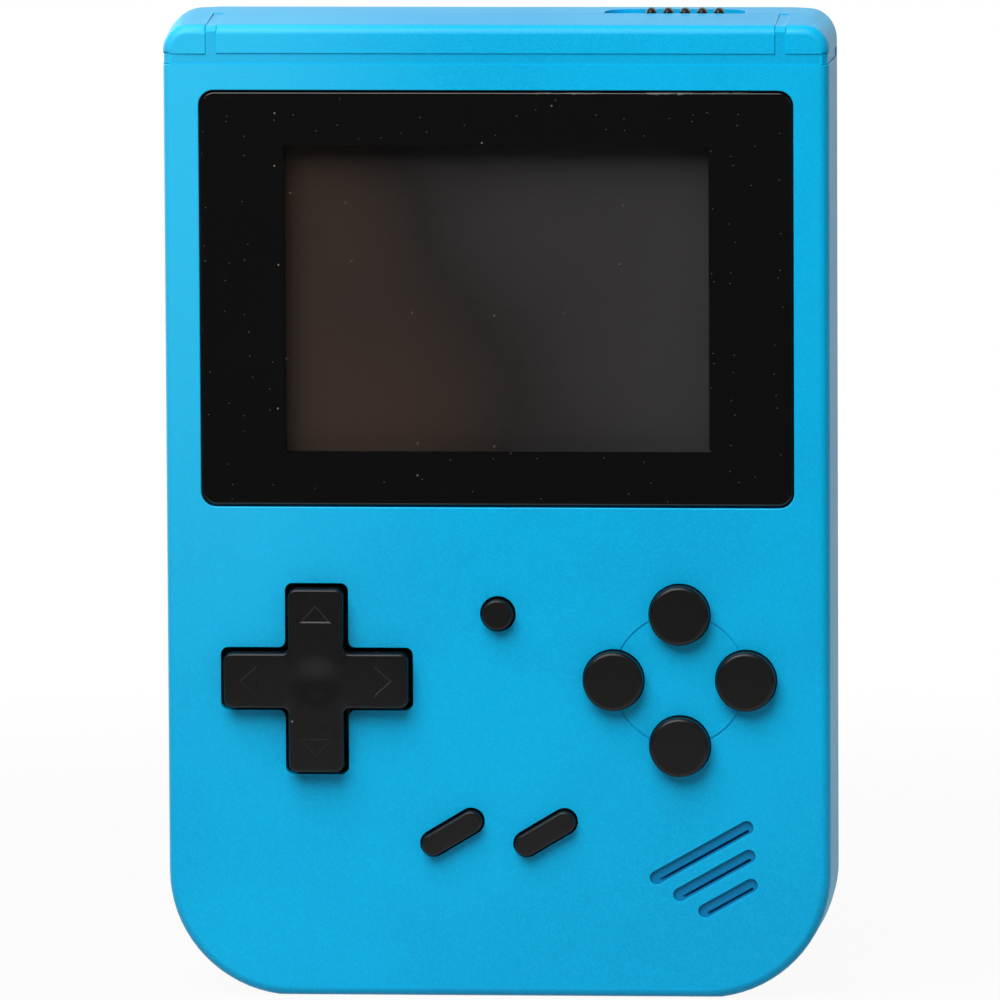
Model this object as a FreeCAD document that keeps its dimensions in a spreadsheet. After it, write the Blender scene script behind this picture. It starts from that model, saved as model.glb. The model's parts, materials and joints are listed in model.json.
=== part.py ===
import FreeCAD, Part
import math
import os

import Sketcher

# A handheld game console standing on its bottom edge, in millimetres.
# X runs to the right seen from the front, Y to the back, Z up.
# The origin lies on the bottom, mid width, at the seam of the two shells.

V = FreeCAD.Vector
document = FreeCAD.newDocument("HandheldConsole")
sheet = document.addObject("Spreadsheet::Sheet", "Sizes")
TINY = 1e-4


# A size is a number together with the sheet formula that gives it

class Size:
    def __init__(self, text, value):
        self.text = text
        self.value = value

    def __add__(self, other):
        other = as_size(other)
        return Size(f"({self.text} + {other.text})", self.value + other.value)

    def __sub__(self, other):
        other = as_size(other)
        return Size(f"({self.text} - {other.text})", self.value - other.value)

    def __mul__(self, other):
        other = as_size(other)
        return Size(f"({self.text} * {other.text})", self.value * other.value)

    def __truediv__(self, other):
        other = as_size(other)
        return Size(f"({self.text} / {other.text})", self.value / other.value)

    def __neg__(self):
        return Size(f"(0 - {self.text})", -self.value)


def as_size(thing):
    if isinstance(thing, Size):
        return thing
    return Size(f"{thing}", thing)


def size(alias, number, meaning):
    row = 1 + len([c for c in sheet.getUsedCells() if c.startswith("B")])
    sheet.set(f"A{row}", meaning)
    sheet.set(f"B{row}", str(number))
    sheet.setAlias(f"B{row}", alias)
    return Size(f"Sizes.{alias}", float(sheet.getContents(f"B{row}")))


ZERO = Size("0", 0.0)

# The case

case_width = size("case_width", 79.0, "over the seam")
case_height = size("case_height", 115.5, "bottom edge to top face at the seam")
front_depth = size("front_depth", 11.0, "seam to front face")
rear_depth = size("rear_depth", 10.5, "seam to back face")
case_draft = size("case_draft", 0.45, "sides and top draw in from seam to front face")
foot_trim = size("foot_trim", 0.1, "the flat foot cuts this much off the front face")
top_radius = size("top_radius", 3.4, "upper corners at the seam")
bottom_radius = size("bottom_radius", 15.3, "lower corners at the seam")
rear_side_straight = size("rear_side_straight", 1.2, "flat side behind the seam")
plan_run = size("plan_run", 16.0, "the back curves to its flat over this width")
plan_near_radius = size("plan_near_radius", 6.5, "the tight round, next to the side")
front_bevel = size("front_bevel", 0.7, "bevel along the front face")
rear_edge_round = size("rear_edge_round", 2.4, "round along the back's top and bottom")
front_wall = size("front_wall", 1.8, "front wall thickness")
side_wall = size("side_wall", 2.0, "side walls of both shells")
rear_wall = size("rear_wall", 1.8, "back wall thickness")
lip_thickness = size("lip_thickness", 0.8, "tongue of the rear shell at the seam")
lip_height = size("lip_height", 1.2, "tongue height")
lip_clearance = size("lip_clearance", 0.1, "tongue to groove, all round")

# Grooves on the front shell

groove_height = size("groove_height", 111.1, "middle of the long groove above the bottom")
groove_width = size("groove_width", 1.2, "width of all case grooves")
groove_depth = size("groove_depth", 0.45, "depth of all case grooves")
short_groove_across = size("short_groove_across", 33.4, "short grooves from mid width")

# Screen

lens_width = size("lens_width", 70.4, "opening for the lens")
lens_height = size("lens_height", 49.5, "opening for the lens")
lens_radius = size("lens_radius", 1.8, "corner of the lens opening")
lens_centre = size("lens_centre", 82.8, "middle of the lens above the bottom")
lens_thickness = size("lens_thickness", 1.2, "lens plate")
lens_recess = size("lens_recess", 0.3, "lens face below the front face")
lens_gap = size("lens_gap", 0.2, "lens to opening, all round")
lens_bevel = size("lens_bevel", 0.25, "bevelled rim of the lens")
tape_thickness = size("tape_thickness", 0.2, "adhesive frame under the lens")
tape_width = size("tape_width", 2.4, "adhesive frame")
ledge_thickness = size("ledge_thickness", 1.4, "frame that the lens tape sticks to")
ledge_rim = size("ledge_rim", 1.2, "ledge beyond the lens opening")
window_width = size("window_width", 54.0, "hole in the ledge")
window_height = size("window_height", 39.0, "hole in the ledge")
panel_width = size("panel_width", 60.3, "display module")
panel_height = size("panel_height", 42.7, "display module")
panel_thickness = size("panel_thickness", 1.5, "display glass")
panel_gasket = size("panel_gasket", 0.3, "foam frame before the display")
flex_width = size("flex_width", 20.0, "display ribbon")
flex_thickness = size("flex_thickness", 0.2, "display ribbon")
flex_drop = size("flex_drop", 1.2, "ribbon below the display before it bends back")
flex_slope = size("flex_slope", 3.6, "ribbon from its bend to the board")
flex_foot = size("flex_foot", 4.8, "ribbon soldered to the board")
backlight_thickness = size("backlight_thickness", 1.0, "light guide frame")

# Boards and bosses

board_depth = size("board_depth", 4.4, "front of the board before the seam")
board_thickness = size("board_thickness", 1.2, "main board")
board_gap = size("board_gap", 0.6, "board edge to case wall")
processor_height = size("processor_height", 93.0, "processor above the bottom")
processor_width = size("processor_width", 14.0, "processor")
processor_rise = size("processor_rise", 1.4, "processor behind the board")
chip_across = size("chip_across", 19.0, "memory and amplifier from mid width")
chip_width = size("chip_width", 9.0, "memory chip")
chip_rise = size("chip_rise", 1.1, "chips behind the board")
small_chip_width = size("small_chip_width", 5.4, "amplifier and charging chips")
charge_chip_height = size("charge_chip_height", 75.0, "charging chip above the bottom")
notch_gap = size("notch_gap", 0.45, "board notch round a boss")
boss_radius = size("boss_radius", 2.75, "case screw boss")
boss_seam_gap = size("boss_seam_gap", 0.1, "boss end to the tube that meets it")
boss_across = size("boss_across", 34.4, "upper bosses from mid width")
boss_top = size("boss_top", 108.2, "upper bosses above the bottom")
foot_boss_across = size("foot_boss_across", 8.5, "lower bosses from mid width")
foot_boss_height = size("foot_boss_height", 6.5, "lower bosses above the bottom")
post_radius = size("post_radius", 2.0, "board post")
post_top_across = size("post_top_across", 33.4, "upper board posts from mid width")
post_top_height = size("post_top_height", 97.0, "upper board posts above the bottom")
post_middle_height = size("post_middle_height", 33.0, "middle board post above the bottom")
post_low_across = size("post_low_across", 29.5, "lower left board post from mid width")
post_low_height = size("post_low_height", 17.5, "lower left board post above the bottom")
screw_radius = size("screw_radius", 1.0, "shank of every screw")
screw_clearance = size("screw_clearance", 0.06, "shank to pilot hole")
screw_pass_gap = size("screw_pass_gap", 0.2, "shank to a hole it passes through")
screw_head_radius = size("screw_head_radius", 1.9, "pan head")
screw_head_height = size("screw_head_height", 1.3, "pan head")
head_gap = size("head_gap", 0.35, "head to counterbore wall")
case_screw_seat = size("case_screw_seat", 2.4, "case screw heads sit behind the seam")
case_screw_reach = size("case_screw_reach", 5.0, "case screws reach before the seam")
board_screw_reach = size("board_screw_reach", 3.4, "board screws below the board")

# Direction pad

pad_across = size("pad_across", 21.4, "both control clusters from mid width")
pad_height = size("pad_height", 37.8, "both control clusters above the bottom")
cross_span = size("cross_span", 22.7, "opening, tip to tip")
cross_arm = size("cross_arm", 7.45, "opening, arm width")
cross_gap = size("cross_gap", 0.5, "cap to opening, all round")
cross_tip_radius = size("cross_tip_radius", 0.9, "corners at the arm tips")
cross_rise = size("cross_rise", 2.1, "cap above the front face")
cross_bevel = size("cross_bevel", 0.35, "bevelled rim of the cap")
cross_plate_radius = size("cross_plate_radius", 8.3, "eight-sided plate under the cap")
pivot_radius = size("pivot_radius", 0.9, "pin that the cap rocks on")
pivot_gap = size("pivot_gap", 0.12, "pin to the board")
cross_flange_gap = size("cross_flange_gap", 0.9, "plate to the inside of the front wall")
cross_flange_thickness = size("cross_flange_thickness", 0.9, "plate under the cap")
arrow_base = size("arrow_base", 3.8, "engraved arrow, across the arm")
arrow_length = size("arrow_length", 2.1, "engraved arrow, along the arm")
arrow_start = size("arrow_start", 6.9, "arrow base from the middle of the cap")
arrow_depth = size("arrow_depth", 0.2, "engraving")

# Round and pill buttons

cluster_radius = size("cluster_radius", 7.8, "face buttons from the cluster's middle")
face_hole_radius = size("face_hole_radius", 3.67, "face button hole")
face_rise = size("face_rise", 1.8, "face buttons above the front face")
reset_height = size("reset_height", 45.6, "small round button above the bottom")
reset_hole_radius = size("reset_hole_radius", 2.1, "small round button's hole")
reset_rise = size("reset_rise", 1.4, "small round button above the front face")
pill_across = size("pill_across", 5.5, "pill buttons from mid width")
pill_height = size("pill_height", 19.6, "pill buttons above the bottom")
pill_hole_length = size("pill_hole_length", 8.4, "pill hole, end to end")
pill_hole_width = size("pill_hole_width", 3.2, "pill hole")
pill_turn = size("pill_turn", 31.0, "degrees that the pills rise to the right")
pill_rise = size("pill_rise", 1.3, "pill buttons above the front face")
button_gap = size("button_gap", 0.28, "cap to hole, all round")
button_bevel = size("button_bevel", 0.3, "bevelled rim of a cap")
ear_overlap = size("ear_overlap", 0.75, "ears of a cap beyond its hole")
ear_width = size("ear_width", 2.6, "ears of a cap")
flange_gap = size("flange_gap", 0.3, "ears to the inside of the front wall")
flange_thickness = size("flange_thickness", 0.8, "ears of a cap")
sheet_thickness = size("sheet_thickness", 0.8, "rubber sheet on the board")
sheet_gap = size("sheet_gap", 0.02, "rubber sheet to the board")
sheet_margin = size("sheet_margin", 3.2, "rubber sheet beyond the key centres")
dome_radius = size("dome_radius", 2.0, "rubber dome")
small_dome_radius = size("small_dome_radius", 1.5, "dome under the small buttons")
cross_dome_across = size("cross_dome_across", 6.0, "domes from the direction pad's middle")

# Loudspeaker

slot_width = size("slot_width", 1.64, "blind sound slots")
slot_depth = size("slot_depth", 0.7, "blind sound slots")
slot_turn = size("slot_turn", 29.4, "degrees that the slots rise to the right")
slit_width = size("slit_width", 0.36, "open slit along the foot of each slot")
long_slot = size("long_slot", 12.2, "between end centres")
middle_slot = size("middle_slot", 9.3, "between end centres")
short_slot = size("short_slot", 6.2, "between end centres")
long_slot_across = size("long_slot_across", 23.9, "middle of the long slot")
long_slot_height = size("long_slot_height", 17.3, "middle of the long slot")
middle_slot_across = size("middle_slot_across", 25.4, "middle of the middle slot")
middle_slot_height = size("middle_slot_height", 14.6, "middle of the middle slot")
short_slot_across = size("short_slot_across", 27.0, "middle of the short slot")
short_slot_height = size("short_slot_height", 11.9, "middle of the short slot")
speaker_across = size("speaker_across", 25.3, "loudspeaker from mid width")
speaker_height = size("speaker_height", 15.5, "loudspeaker above the bottom")
speaker_radius = size("speaker_radius", 8.0, "loudspeaker")
speaker_depth = size("speaker_depth", 4.0, "loudspeaker")
magnet_radius = size("magnet_radius", 5.0, "magnet at the back of the loudspeaker")
basket_depth = size("basket_depth", 2.0, "straight rim of the loudspeaker")
cone_depth = size("cone_depth", 0.9, "hollow of the cone below the rim")
speaker_gasket = size("speaker_gasket", 0.5, "foam ring thickness")
speaker_gasket_width = size("speaker_gasket_width", 1.2, "foam ring")
cup_gap = size("cup_gap", 0.15, "loudspeaker to its cup")
cup_wall = size("cup_wall", 0.9, "loudspeaker cup")
cup_height = size("cup_height", 3.2, "loudspeaker cup")

# Power switch

switch_recess_across = size("switch_recess_across", 20.4, "thumb recess from mid width")
switch_recess_width = size("switch_recess_width", 16.6, "thumb recess")
switch_recess_depth = size("switch_recess_depth", 5.3, "thumb recess behind the seam")
switch_recess_drop = size("switch_recess_drop", 0.8, "thumb recess below the top face")
switch_recess_radius = size("switch_recess_radius", 3.0, "rear corners of the recess")
knob_across = size("knob_across", 21.6, "knob from mid width, switched off")
knob_length = size("knob_length", 11.2, "knob plate")
knob_depth = size("knob_depth", 4.4, "knob plate")
knob_thickness = size("knob_thickness", 0.6, "knob plate")
knob_gap = size("knob_gap", 0.08, "knob plate above the recess floor")
knob_wall_gap = size("knob_wall_gap", 0.35, "knob plate behind the seam")
ridge_radius = size("ridge_radius", 0.6, "thumb ridges")
ridge_pitch = size("ridge_pitch", 2.0, "thumb ridges")
ridge_lift = size("ridge_lift", 0.25, "ridge axis above the knob plate")
switch_travel = size("switch_travel", 2.5, "knob travel to the left")
stem_width = size("stem_width", 3.0, "knob stem")
stem_depth = size("stem_depth", 2.6, "knob stem")
stem_gap = size("stem_gap", 0.2, "knob stem to its slot")
stem_back = size("stem_back", 0.9, "knob stem behind the seam")
switch_length = size("switch_length", 10.0, "switch body")
switch_height = size("switch_height", 4.2, "switch body")
switch_rise = size("switch_rise", 5.6, "switch body behind the board")
switch_drop = size("switch_drop", 4.4, "top of the switch body below the top face")
lever_width = size("lever_width", 1.6, "switch lever")
lever_reach = size("lever_reach", 1.4, "switch lever into the body")
lever_gap = size("lever_gap", 0.12, "lever to what is round it")

# Sockets in the bottom edge

usb_width = size("usb_width", 7.5, "charging socket")
usb_thickness = size("usb_thickness", 2.5, "charging socket")
usb_length = size("usb_length", 5.5, "charging socket")
usb_shell = size("usb_shell", 0.3, "sheet of the charging socket")
usb_recess = size("usb_recess", 0.5, "socket mouths above the bottom face")
usb_tongue_width = size("usb_tongue_width", 3.6, "contact tongue")
usb_tongue_thickness = size("usb_tongue_thickness", 0.6, "contact tongue")
socket_gap = size("socket_gap", 0.35, "socket to the hole in the wall")
jack_across = size("jack_across", 17.0, "picture and sound jack left of mid width")
jack_width = size("jack_width", 6.0, "jack body")
jack_thickness = size("jack_thickness", 4.6, "jack body")
jack_length = size("jack_length", 12.0, "jack body")
jack_nose_radius = size("jack_nose_radius", 2.3, "jack nose")
jack_nose_length = size("jack_nose_length", 2.2, "jack nose")
jack_bore_radius = size("jack_bore_radius", 1.8, "jack bore")
jack_bore_length = size("jack_bore_length", 12.6, "jack bore")

# Battery and its door

battery_width = size("battery_width", 34.0, "battery")
battery_height = size("battery_height", 53.0, "battery")
battery_thickness = size("battery_thickness", 5.6, "battery")
battery_bottom = size("battery_bottom", 30.0, "battery above the bottom")
battery_gap = size("battery_gap", 0.25, "battery to its box")
box_wall = size("box_wall", 1.2, "battery box")
box_radius = size("box_radius", 0.6, "corners of the battery box")
terminal_room = size("terminal_room", 2.6, "above the battery for its terminals")
terminal_block_gap = size("terminal_block_gap", 0.6, "terminal block above the battery")
terminal_block_width = size("terminal_block_width", 14.0, "terminal block")
terminal_width = size("terminal_width", 1.6, "terminal blades")
terminal_pitch = size("terminal_pitch", 4.0, "terminal blades")
terminal_height = size("terminal_height", 3.0, "terminal blades, front to back")
door_width = size("door_width", 40.0, "opening for the door")
door_height = size("door_height", 64.0, "opening for the door")
door_bottom = size("door_bottom", 26.0, "door opening above the bottom")
door_thickness = size("door_thickness", 1.5, "door plate")
door_radius = size("door_radius", 2.5, "corners of the door")
door_gap = size("door_gap", 0.2, "door to its opening")
door_bevel = size("door_bevel", 0.3, "bevelled rim of the door")
door_seat_gap = size("door_seat_gap", 0.05, "door to its ledge")
door_ledge = size("door_ledge", 1.2, "ledge round the door")
hook_width = size("hook_width", 6.0, "door hooks")
hook_across = size("hook_across", 11.0, "door hooks from mid width")
hook_reach = size("hook_reach", 1.4, "door hooks below the door")
hook_thickness = size("hook_thickness", 0.9, "door hooks")
hook_drop = size("hook_drop", 0.75, "hook face before the ledge of the door")
hook_root = size("hook_root", 1.5, "door hooks up behind the door")
hook_room = size("hook_room", 1.0, "free space round a swinging hook")
latch_width = size("latch_width", 12.0, "spring tongue of the door")
latch_length = size("latch_length", 9.0, "spring tongue of the door")
latch_slit = size("latch_slit", 0.8, "slit round the spring tongue")
latch_rib_pitch = size("latch_rib_pitch", 1.5, "grip ribs on the tongue")
latch_rib_rise = size("latch_rib_rise", 0.3, "grip ribs on the tongue")

document.recompute()

# Places that several pieces share, with Y negative towards the front

front_face = -front_depth
inner_face = front_face + front_wall
board_front = -board_depth
board_back = board_front + board_thickness
lens_face = front_face + lens_recess
tape_face = lens_face + lens_thickness
ledge_face = tape_face + tape_thickness
ledge_back = inner_face + ledge_thickness
panel_face = ledge_back + panel_gasket
backlight_face = panel_face + panel_thickness
panel_tape_face = backlight_face + backlight_thickness
flange_face = inner_face + flange_gap
flange_back = flange_face + flange_thickness
cross_flange_face = inner_face + cross_flange_gap
cross_flange_back = cross_flange_face + cross_flange_thickness
sheet_back = board_front - sheet_gap
sheet_face = sheet_back - sheet_thickness
door_seat = rear_depth - door_thickness
box_floor = door_seat - door_seat_gap - battery_thickness - battery_gap
box_front = box_floor - box_wall
recess_floor = case_height - switch_recess_drop
knob_floor = recess_floor + knob_gap
foot_line = -case_draft - foot_trim
switch_top = case_height - switch_drop

FACE_BUTTONS = {
    "face_button_top": (pad_across, pad_height + cluster_radius),
    "face_button_bottom": (pad_across, pad_height - cluster_radius),
    "face_button_left": (pad_across - cluster_radius, pad_height),
    "face_button_right": (pad_across + cluster_radius, pad_height),
}
CASE_BOSSES = [
    (boss_across, boss_top),
    (-boss_across, boss_top),
    (foot_boss_across, foot_boss_height),
    (-foot_boss_across, foot_boss_height),
]
BOARD_POSTS = [
    (post_top_across, post_top_height),
    (-post_top_across, post_top_height),
    (ZERO, post_middle_height),
    (-post_low_across, post_low_height),
]
SOUND_SLOTS = [
    (long_slot_across, long_slot_height, long_slot),
    (middle_slot_across, middle_slot_height, middle_slot),
    (short_slot_across, short_slot_height, short_slot),
]
PILL_BUTTONS = {"sound_button": -pill_across, "start_button": pill_across}


# Bodies and sketches

def new_body(label):
    body = document.addObject("PartDesign::Body", label)
    body.Label = label
    body.AllowCompound = True
    return body


def new_sketch(body, role, height, x=ZERO, y=ZERO, turn=None):
    sketch = body.newObject("Sketcher::SketchObject", "Sketch")
    support = next(f for f in body.Origin.OriginFeatures if f.Role == role)
    sketch.AttachmentSupport = [(support, "")]
    sketch.MapMode = "FlatFace"
    sketch.AttachmentOffset = FreeCAD.Placement(V(0, 0, 0), FreeCAD.Rotation(V(0, 0, 1), 0))
    for axis, amount in zip("xyz", (x, y, height)):
        sketch.setExpression(f"AttachmentOffset.Base.{axis}", amount.text)
    if turn:
        sketch.setExpression("AttachmentOffset.Rotation.Angle", turn.text)
    return sketch


# Seen from the front: the sketch's own axes are X and Z, and its face looks to the front
def front_sketch(body, depth, x=ZERO, z=ZERO, turn=None):
    return new_sketch(body, "XZ_Plane", -depth, x, z, turn)


# Seen from above: the sketch's own axes are X and Y
def level_sketch(body, height, x=ZERO, y=ZERO):
    return new_sketch(body, "XY_Plane", height, x, y)


# Seen from the right: the sketch's own axes are Y and Z
def side_sketch(body, across):
    return new_sketch(body, "YZ_Plane", across)


def constrain(sketch, kind, place, amount):
    index = sketch.addConstraint(Sketcher.Constraint(kind, *place, amount.value))
    sketch.setExpression(f"Constraints[{index}]", amount.text)


def fix_point(sketch, geometry, end, x, y):
    constrain(sketch, "DistanceX", (-1, 1, geometry, end), x)
    constrain(sketch, "DistanceY", (-1, 1, geometry, end), y)


def circle(sketch, x, y, radius):
    index = sketch.addGeometry(Part.Circle(V(x.value, y.value, 0), V(0, 0, 1), radius.value))
    constrain(sketch, "Radius", (index,), radius)
    fix_point(sketch, index, 3, x, y)


# Small round things that repeat inside the case have few sides, which keeps the model light

SMALL_SIDES = 12
WIDE_SIDES = 24


def many_sided(sketch, x, y, radius, sides=SMALL_SIDES):
    corners = []
    for step in range(sides):
        angle = 2 * math.pi * (step + 0.5) / sides
        corners.append(
            (x + radius * round(math.cos(angle), 6), y + radius * round(math.sin(angle), 6))
        )
    outline(sketch, corners)


# A closed loop of straight sides. A corner is (x, y), or (x, y, radius) where its sides are square.
def outline(sketch, corners):
    count = len(corners)
    points = [V(corner[0].value, corner[1].value, 0) for corner in corners]
    first = sketch.GeometryCount
    rounds = {}
    for i, corner in enumerate(corners):
        if len(corner) == 3:
            back = (points[i - 1] - points[i]).normalize()
            ahead = (points[(i + 1) % count] - points[i]).normalize()
            rounds[i] = (back, ahead, corner[2])
    for i in range(count):
        start, stop = points[i], points[(i + 1) % count]
        if i in rounds:
            start = start + rounds[i][1] * rounds[i][2].value
        if (i + 1) % count in rounds:
            back, _, radius = rounds[(i + 1) % count]
            stop = stop + back * radius.value
        sketch.addGeometry(Part.LineSegment(start, stop))
    for i, corner in enumerate(corners):
        before, after = first + (i - 1) % count, first + i
        if i not in rounds:
            sketch.addConstraint(Sketcher.Constraint("Coincident", before, 2, after, 1))
            fix_point(sketch, after, 1, corner[0], corner[1])
            continue
        back, ahead, radius = rounds[i]
        centre = points[i] + (back + ahead) * radius.value
        left_turn = back.cross(ahead).z < 0
        leaving, arriving = (ahead, back) if left_turn else (back, ahead)
        angles = [math.atan2(-side.y, -side.x) for side in (leaving, arriving)]
        if angles[1] < angles[0]:
            angles[1] += 2 * math.pi
        arc = sketch.addGeometry(
            Part.ArcOfCircle(Part.Circle(centre, V(0, 0, 1), radius.value), *angles)
        )
        ends = (1, 2) if left_turn else (2, 1)
        sketch.addConstraint(Sketcher.Constraint("Tangent", before, 2, arc, ends[0]))
        sketch.addConstraint(Sketcher.Constraint("Tangent", arc, ends[1], after, 1))
        constrain(sketch, "Radius", (arc,), radius)
        shift = back + ahead
        fix_point(
            sketch,
            arc,
            3,
            corner[0] + radius * round(shift.x),
            corner[1] + radius * round(shift.y),
        )


def rectangle(sketch, left, right, low, high, radius=None):
    tail = (radius,) if radius else ()
    outline(
        sketch,
        [(left, low, *tail), (right, low, *tail), (right, high, *tail), (left, high, *tail)],
    )


# A straight slot with round ends, along the sketch's own X axis through its origin
def slot(sketch, end_to_end, width, lift=ZERO):
    reach = (end_to_end - width) / 2
    radius = width / 2
    y = lift.value
    arcs = []
    for side in (-1, 1):
        turn = math.pi / 2 if side < 0 else -math.pi / 2
        round_end = Part.Circle(V(side * reach.value, y, 0), V(0, 0, 1), radius.value)
        arcs.append(sketch.addGeometry(Part.ArcOfCircle(round_end, turn, turn + math.pi)))
    lines = []
    for side in (-1, 1):
        level = y + side * radius.value
        ends = [V(-side * -reach.value, level, 0), V(-side * reach.value, level, 0)]
        ends.sort(key=lambda point: point.x * -side)
        lines.append(sketch.addGeometry(Part.LineSegment(*ends)))
    low, high = lines
    left, right = arcs
    for pair in ((left, 2, low, 1), (low, 2, right, 1), (right, 2, high, 1), (high, 2, left, 1)):
        sketch.addConstraint(Sketcher.Constraint("Tangent", *pair))
    sketch.addConstraint(Sketcher.Constraint("Equal", left, right))
    constrain(sketch, "Radius", (left,), radius)
    fix_point(sketch, left, 3, -reach, lift)
    fix_point(sketch, right, 3, reach, lift)


# Features. A direction is front, back, up, down, right or left.

WITH_SKETCH = ("front", "up", "right")


def pad(body, sketch, length, direction):
    feature = body.newObject("PartDesign::Pad", "Pad")
    feature.Profile = sketch
    feature.setExpression("Length", length.text)
    feature.Reversed = direction not in WITH_SKETCH
    document.recompute()
    return feature


def check_cut(body, before):
    document.recompute()
    if body.Tip.Shape.Volume > before - TINY:
        raise RuntimeError(f"a cut in {body.Label} takes nothing away")


def pocket(body, sketch, length, direction):
    before = body.Tip.Shape.Volume
    feature = body.newObject("PartDesign::Pocket", "Pocket")
    feature.Profile = sketch
    feature.setExpression("Length", length.text)
    feature.Reversed = direction in WITH_SKETCH
    check_cut(body, before)
    return feature


def loft(body, kind, sketches):
    feature = body.newObject(f"PartDesign::{kind}", kind)
    feature.Profile = sketches[0]
    feature.Sections = sketches[1:]
    feature.Ruled = True
    document.recompute()
    return feature


def bevel_edges(body, width, wanted):
    document.recompute()
    base = body.Tip
    names = [f"Edge{i}" for i, edge in enumerate(base.Shape.Edges, 1) if wanted(edge)]
    feature = body.newObject("PartDesign::Chamfer", "Chamfer")
    feature.Base = (base, names)
    feature.setExpression("Size", width.text)
    document.recompute()


def spread(edge, axis):
    box = edge.BoundBox
    low, high = ((box.XMin, box.XMax), (box.YMin, box.YMax), (box.ZMin, box.ZMax))["XYZ".index(axis)]
    return low, high


# True for an edge that lies wholly in the plane across an axis at a place
def in_plane(axis, place):
    def wanted(edge):
        return all(abs(end - place.value) < 1e-3 for end in spread(edge, axis))
    return wanted


def join_cut(body, tool):
    before = body.Tip.Shape.Volume
    feature = body.newObject("PartDesign::Boolean", "Boolean")
    feature.setObjects([tool])
    feature.Type = "Cut"
    check_cut(body, before)


# The case outline at the seam, drawn in evenly. It starts a little under the flat foot.

def case_outline(sketch, inset):
    half = case_width / 2 - inset
    low, top = foot_line + inset, case_height - inset
    low_corner, top_corner = bottom_radius - inset, top_radius - inset
    outline(
        sketch,
        [
            (-half, low, low_corner),
            (half, low, low_corner),
            (half, top, top_corner),
            (-half, top, top_corner),
        ],
    )


def cut_flat_foot(body):
    across, deep = case_width, case_width / 2
    below = level_sketch(body, ZERO)
    rectangle(below, -across, across, -deep, deep)
    pocket(body, below, -foot_line * 2, "down")


# The side shape of the back: everything outside it is cut away
def cut_side(body, spare):
    across = case_width / 2 + spare
    sketch = side_sketch(body, -across)
    back = rear_depth + spare
    outline(
        sketch,
        [
            (-spare, ZERO),
            (rear_depth, ZERO, rear_edge_round),
            (rear_depth, case_height, rear_edge_round),
            (-spare, case_height),
            (-spare, case_height + spare),
            (back, case_height + spare),
            (back, -spare),
            (-spare, -spare),
        ],
    )
    pocket(body, sketch, across * 2, "right")


# The plan shape of the back: everything outside it is cut away
# The back curves into each side with two rounds in a row, a tight one and then a wide one
def cut_plan(body, half, depth, run, near, spare):
    rise = depth - rear_side_straight
    across = (run - near).value
    wide = (across**2 + rise.value**2 - near.value**2) / (2 * (rise.value - near.value))
    lean = math.atan2(wide - rise.value, across)
    sketch = level_sketch(body, -spare)
    edge = half + spare
    back = depth + spare
    corners = [(half, ZERO), (edge, ZERO), (edge, back), (-edge, back), (-edge, ZERO)]
    corners.append((-half, ZERO))
    points = [V(x.value, y.value, 0) for x, y in corners]
    for i, (x, y) in enumerate(corners[:-1]):
        sketch.addGeometry(Part.LineSegment(points[i], points[i + 1]))
        fix_point(sketch, i, 1, x, y)
    for i in range(len(corners) - 2):
        sketch.addConstraint(Sketcher.Constraint("Coincident", i, 2, i + 1, 1))
    flat_end = V((half - run).value, depth.value, 0)
    flat_start = V(-flat_end.x, flat_end.y, 0)
    flat = sketch.addGeometry(Part.LineSegment(flat_start, flat_end))
    sketch.addConstraint(Sketcher.Constraint("Horizontal", flat))
    constrain(sketch, "DistanceY", (-1, 1, flat, 1), depth)
    for side in (1, -1):
        foot = V(side * half.value, 0, 0)
        knee = V(side * half.value, rear_side_straight.value, 0)
        spans = {1: ((0, lean), (lean, math.pi / 2))}
        spans[-1] = ((math.pi - lean, math.pi), (math.pi / 2, math.pi - lean))
        first, last = (1, 2) if side > 0 else (2, 1)
        wall = sketch.addGeometry(Part.LineSegment(foot, knee))
        near_centre = V(side * (half - near).value, rear_side_straight.value, 0)
        near_circle = Part.Circle(near_centre, V(0, 0, 1), near.value)
        near_arc = sketch.addGeometry(Part.ArcOfCircle(near_circle, *spans[side][0]))
        wide_centre = V(side * (half - run).value, depth.value - wide, 0)
        wide_circle = Part.Circle(wide_centre, V(0, 0, 1), wide)
        wide_arc = sketch.addGeometry(Part.ArcOfCircle(wide_circle, *spans[side][1]))
        outer_line, outer_end = (0, 1) if side > 0 else (len(corners) - 2, 2)
        sketch.addConstraint(Sketcher.Constraint("Coincident", outer_line, outer_end, wall, 1))
        if side < 0:
            fix_point(sketch, wall, 1, -half, ZERO)
        sketch.addConstraint(Sketcher.Constraint("Tangent", wall, 2, near_arc, first))
        sketch.addConstraint(Sketcher.Constraint("Tangent", near_arc, last, wide_arc, first))
        sketch.addConstraint(Sketcher.Constraint("Tangent", wide_arc, last, flat, first % 2 + 1))
        constrain(sketch, "Radius", (near_arc,), near)
        fix_point(sketch, near_arc, 3, (half - near) * side, rear_side_straight)
        constrain(sketch, "DistanceX", (-1, 1, wide_arc, 3), (half - run) * side)
    pocket(body, sketch, case_height + spare * 2, "up")


def cross_outline(sketch, span, arm, tip):
    far, near = span / 2, arm / 2
    outline(
        sketch,
        [
            (-near, -far, tip), (near, -far, tip), (near, -near),
            (far, -near, tip), (far, near, tip), (near, near),
            (near, far, tip), (-near, far, tip), (-near, near),
            (-far, near, tip), (-far, -near, tip), (-near, -near),
        ],
    )


# Front shell

def shape_front_case(body):
    seam = front_sketch(body, ZERO)
    case_outline(seam, ZERO)
    face = front_sketch(body, front_face)
    case_outline(face, case_draft)
    loft(body, "AdditiveLoft", [seam, face])
    bevel_edges(body, front_bevel, in_plane("Y", front_face))
    cut_flat_foot(body)


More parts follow.
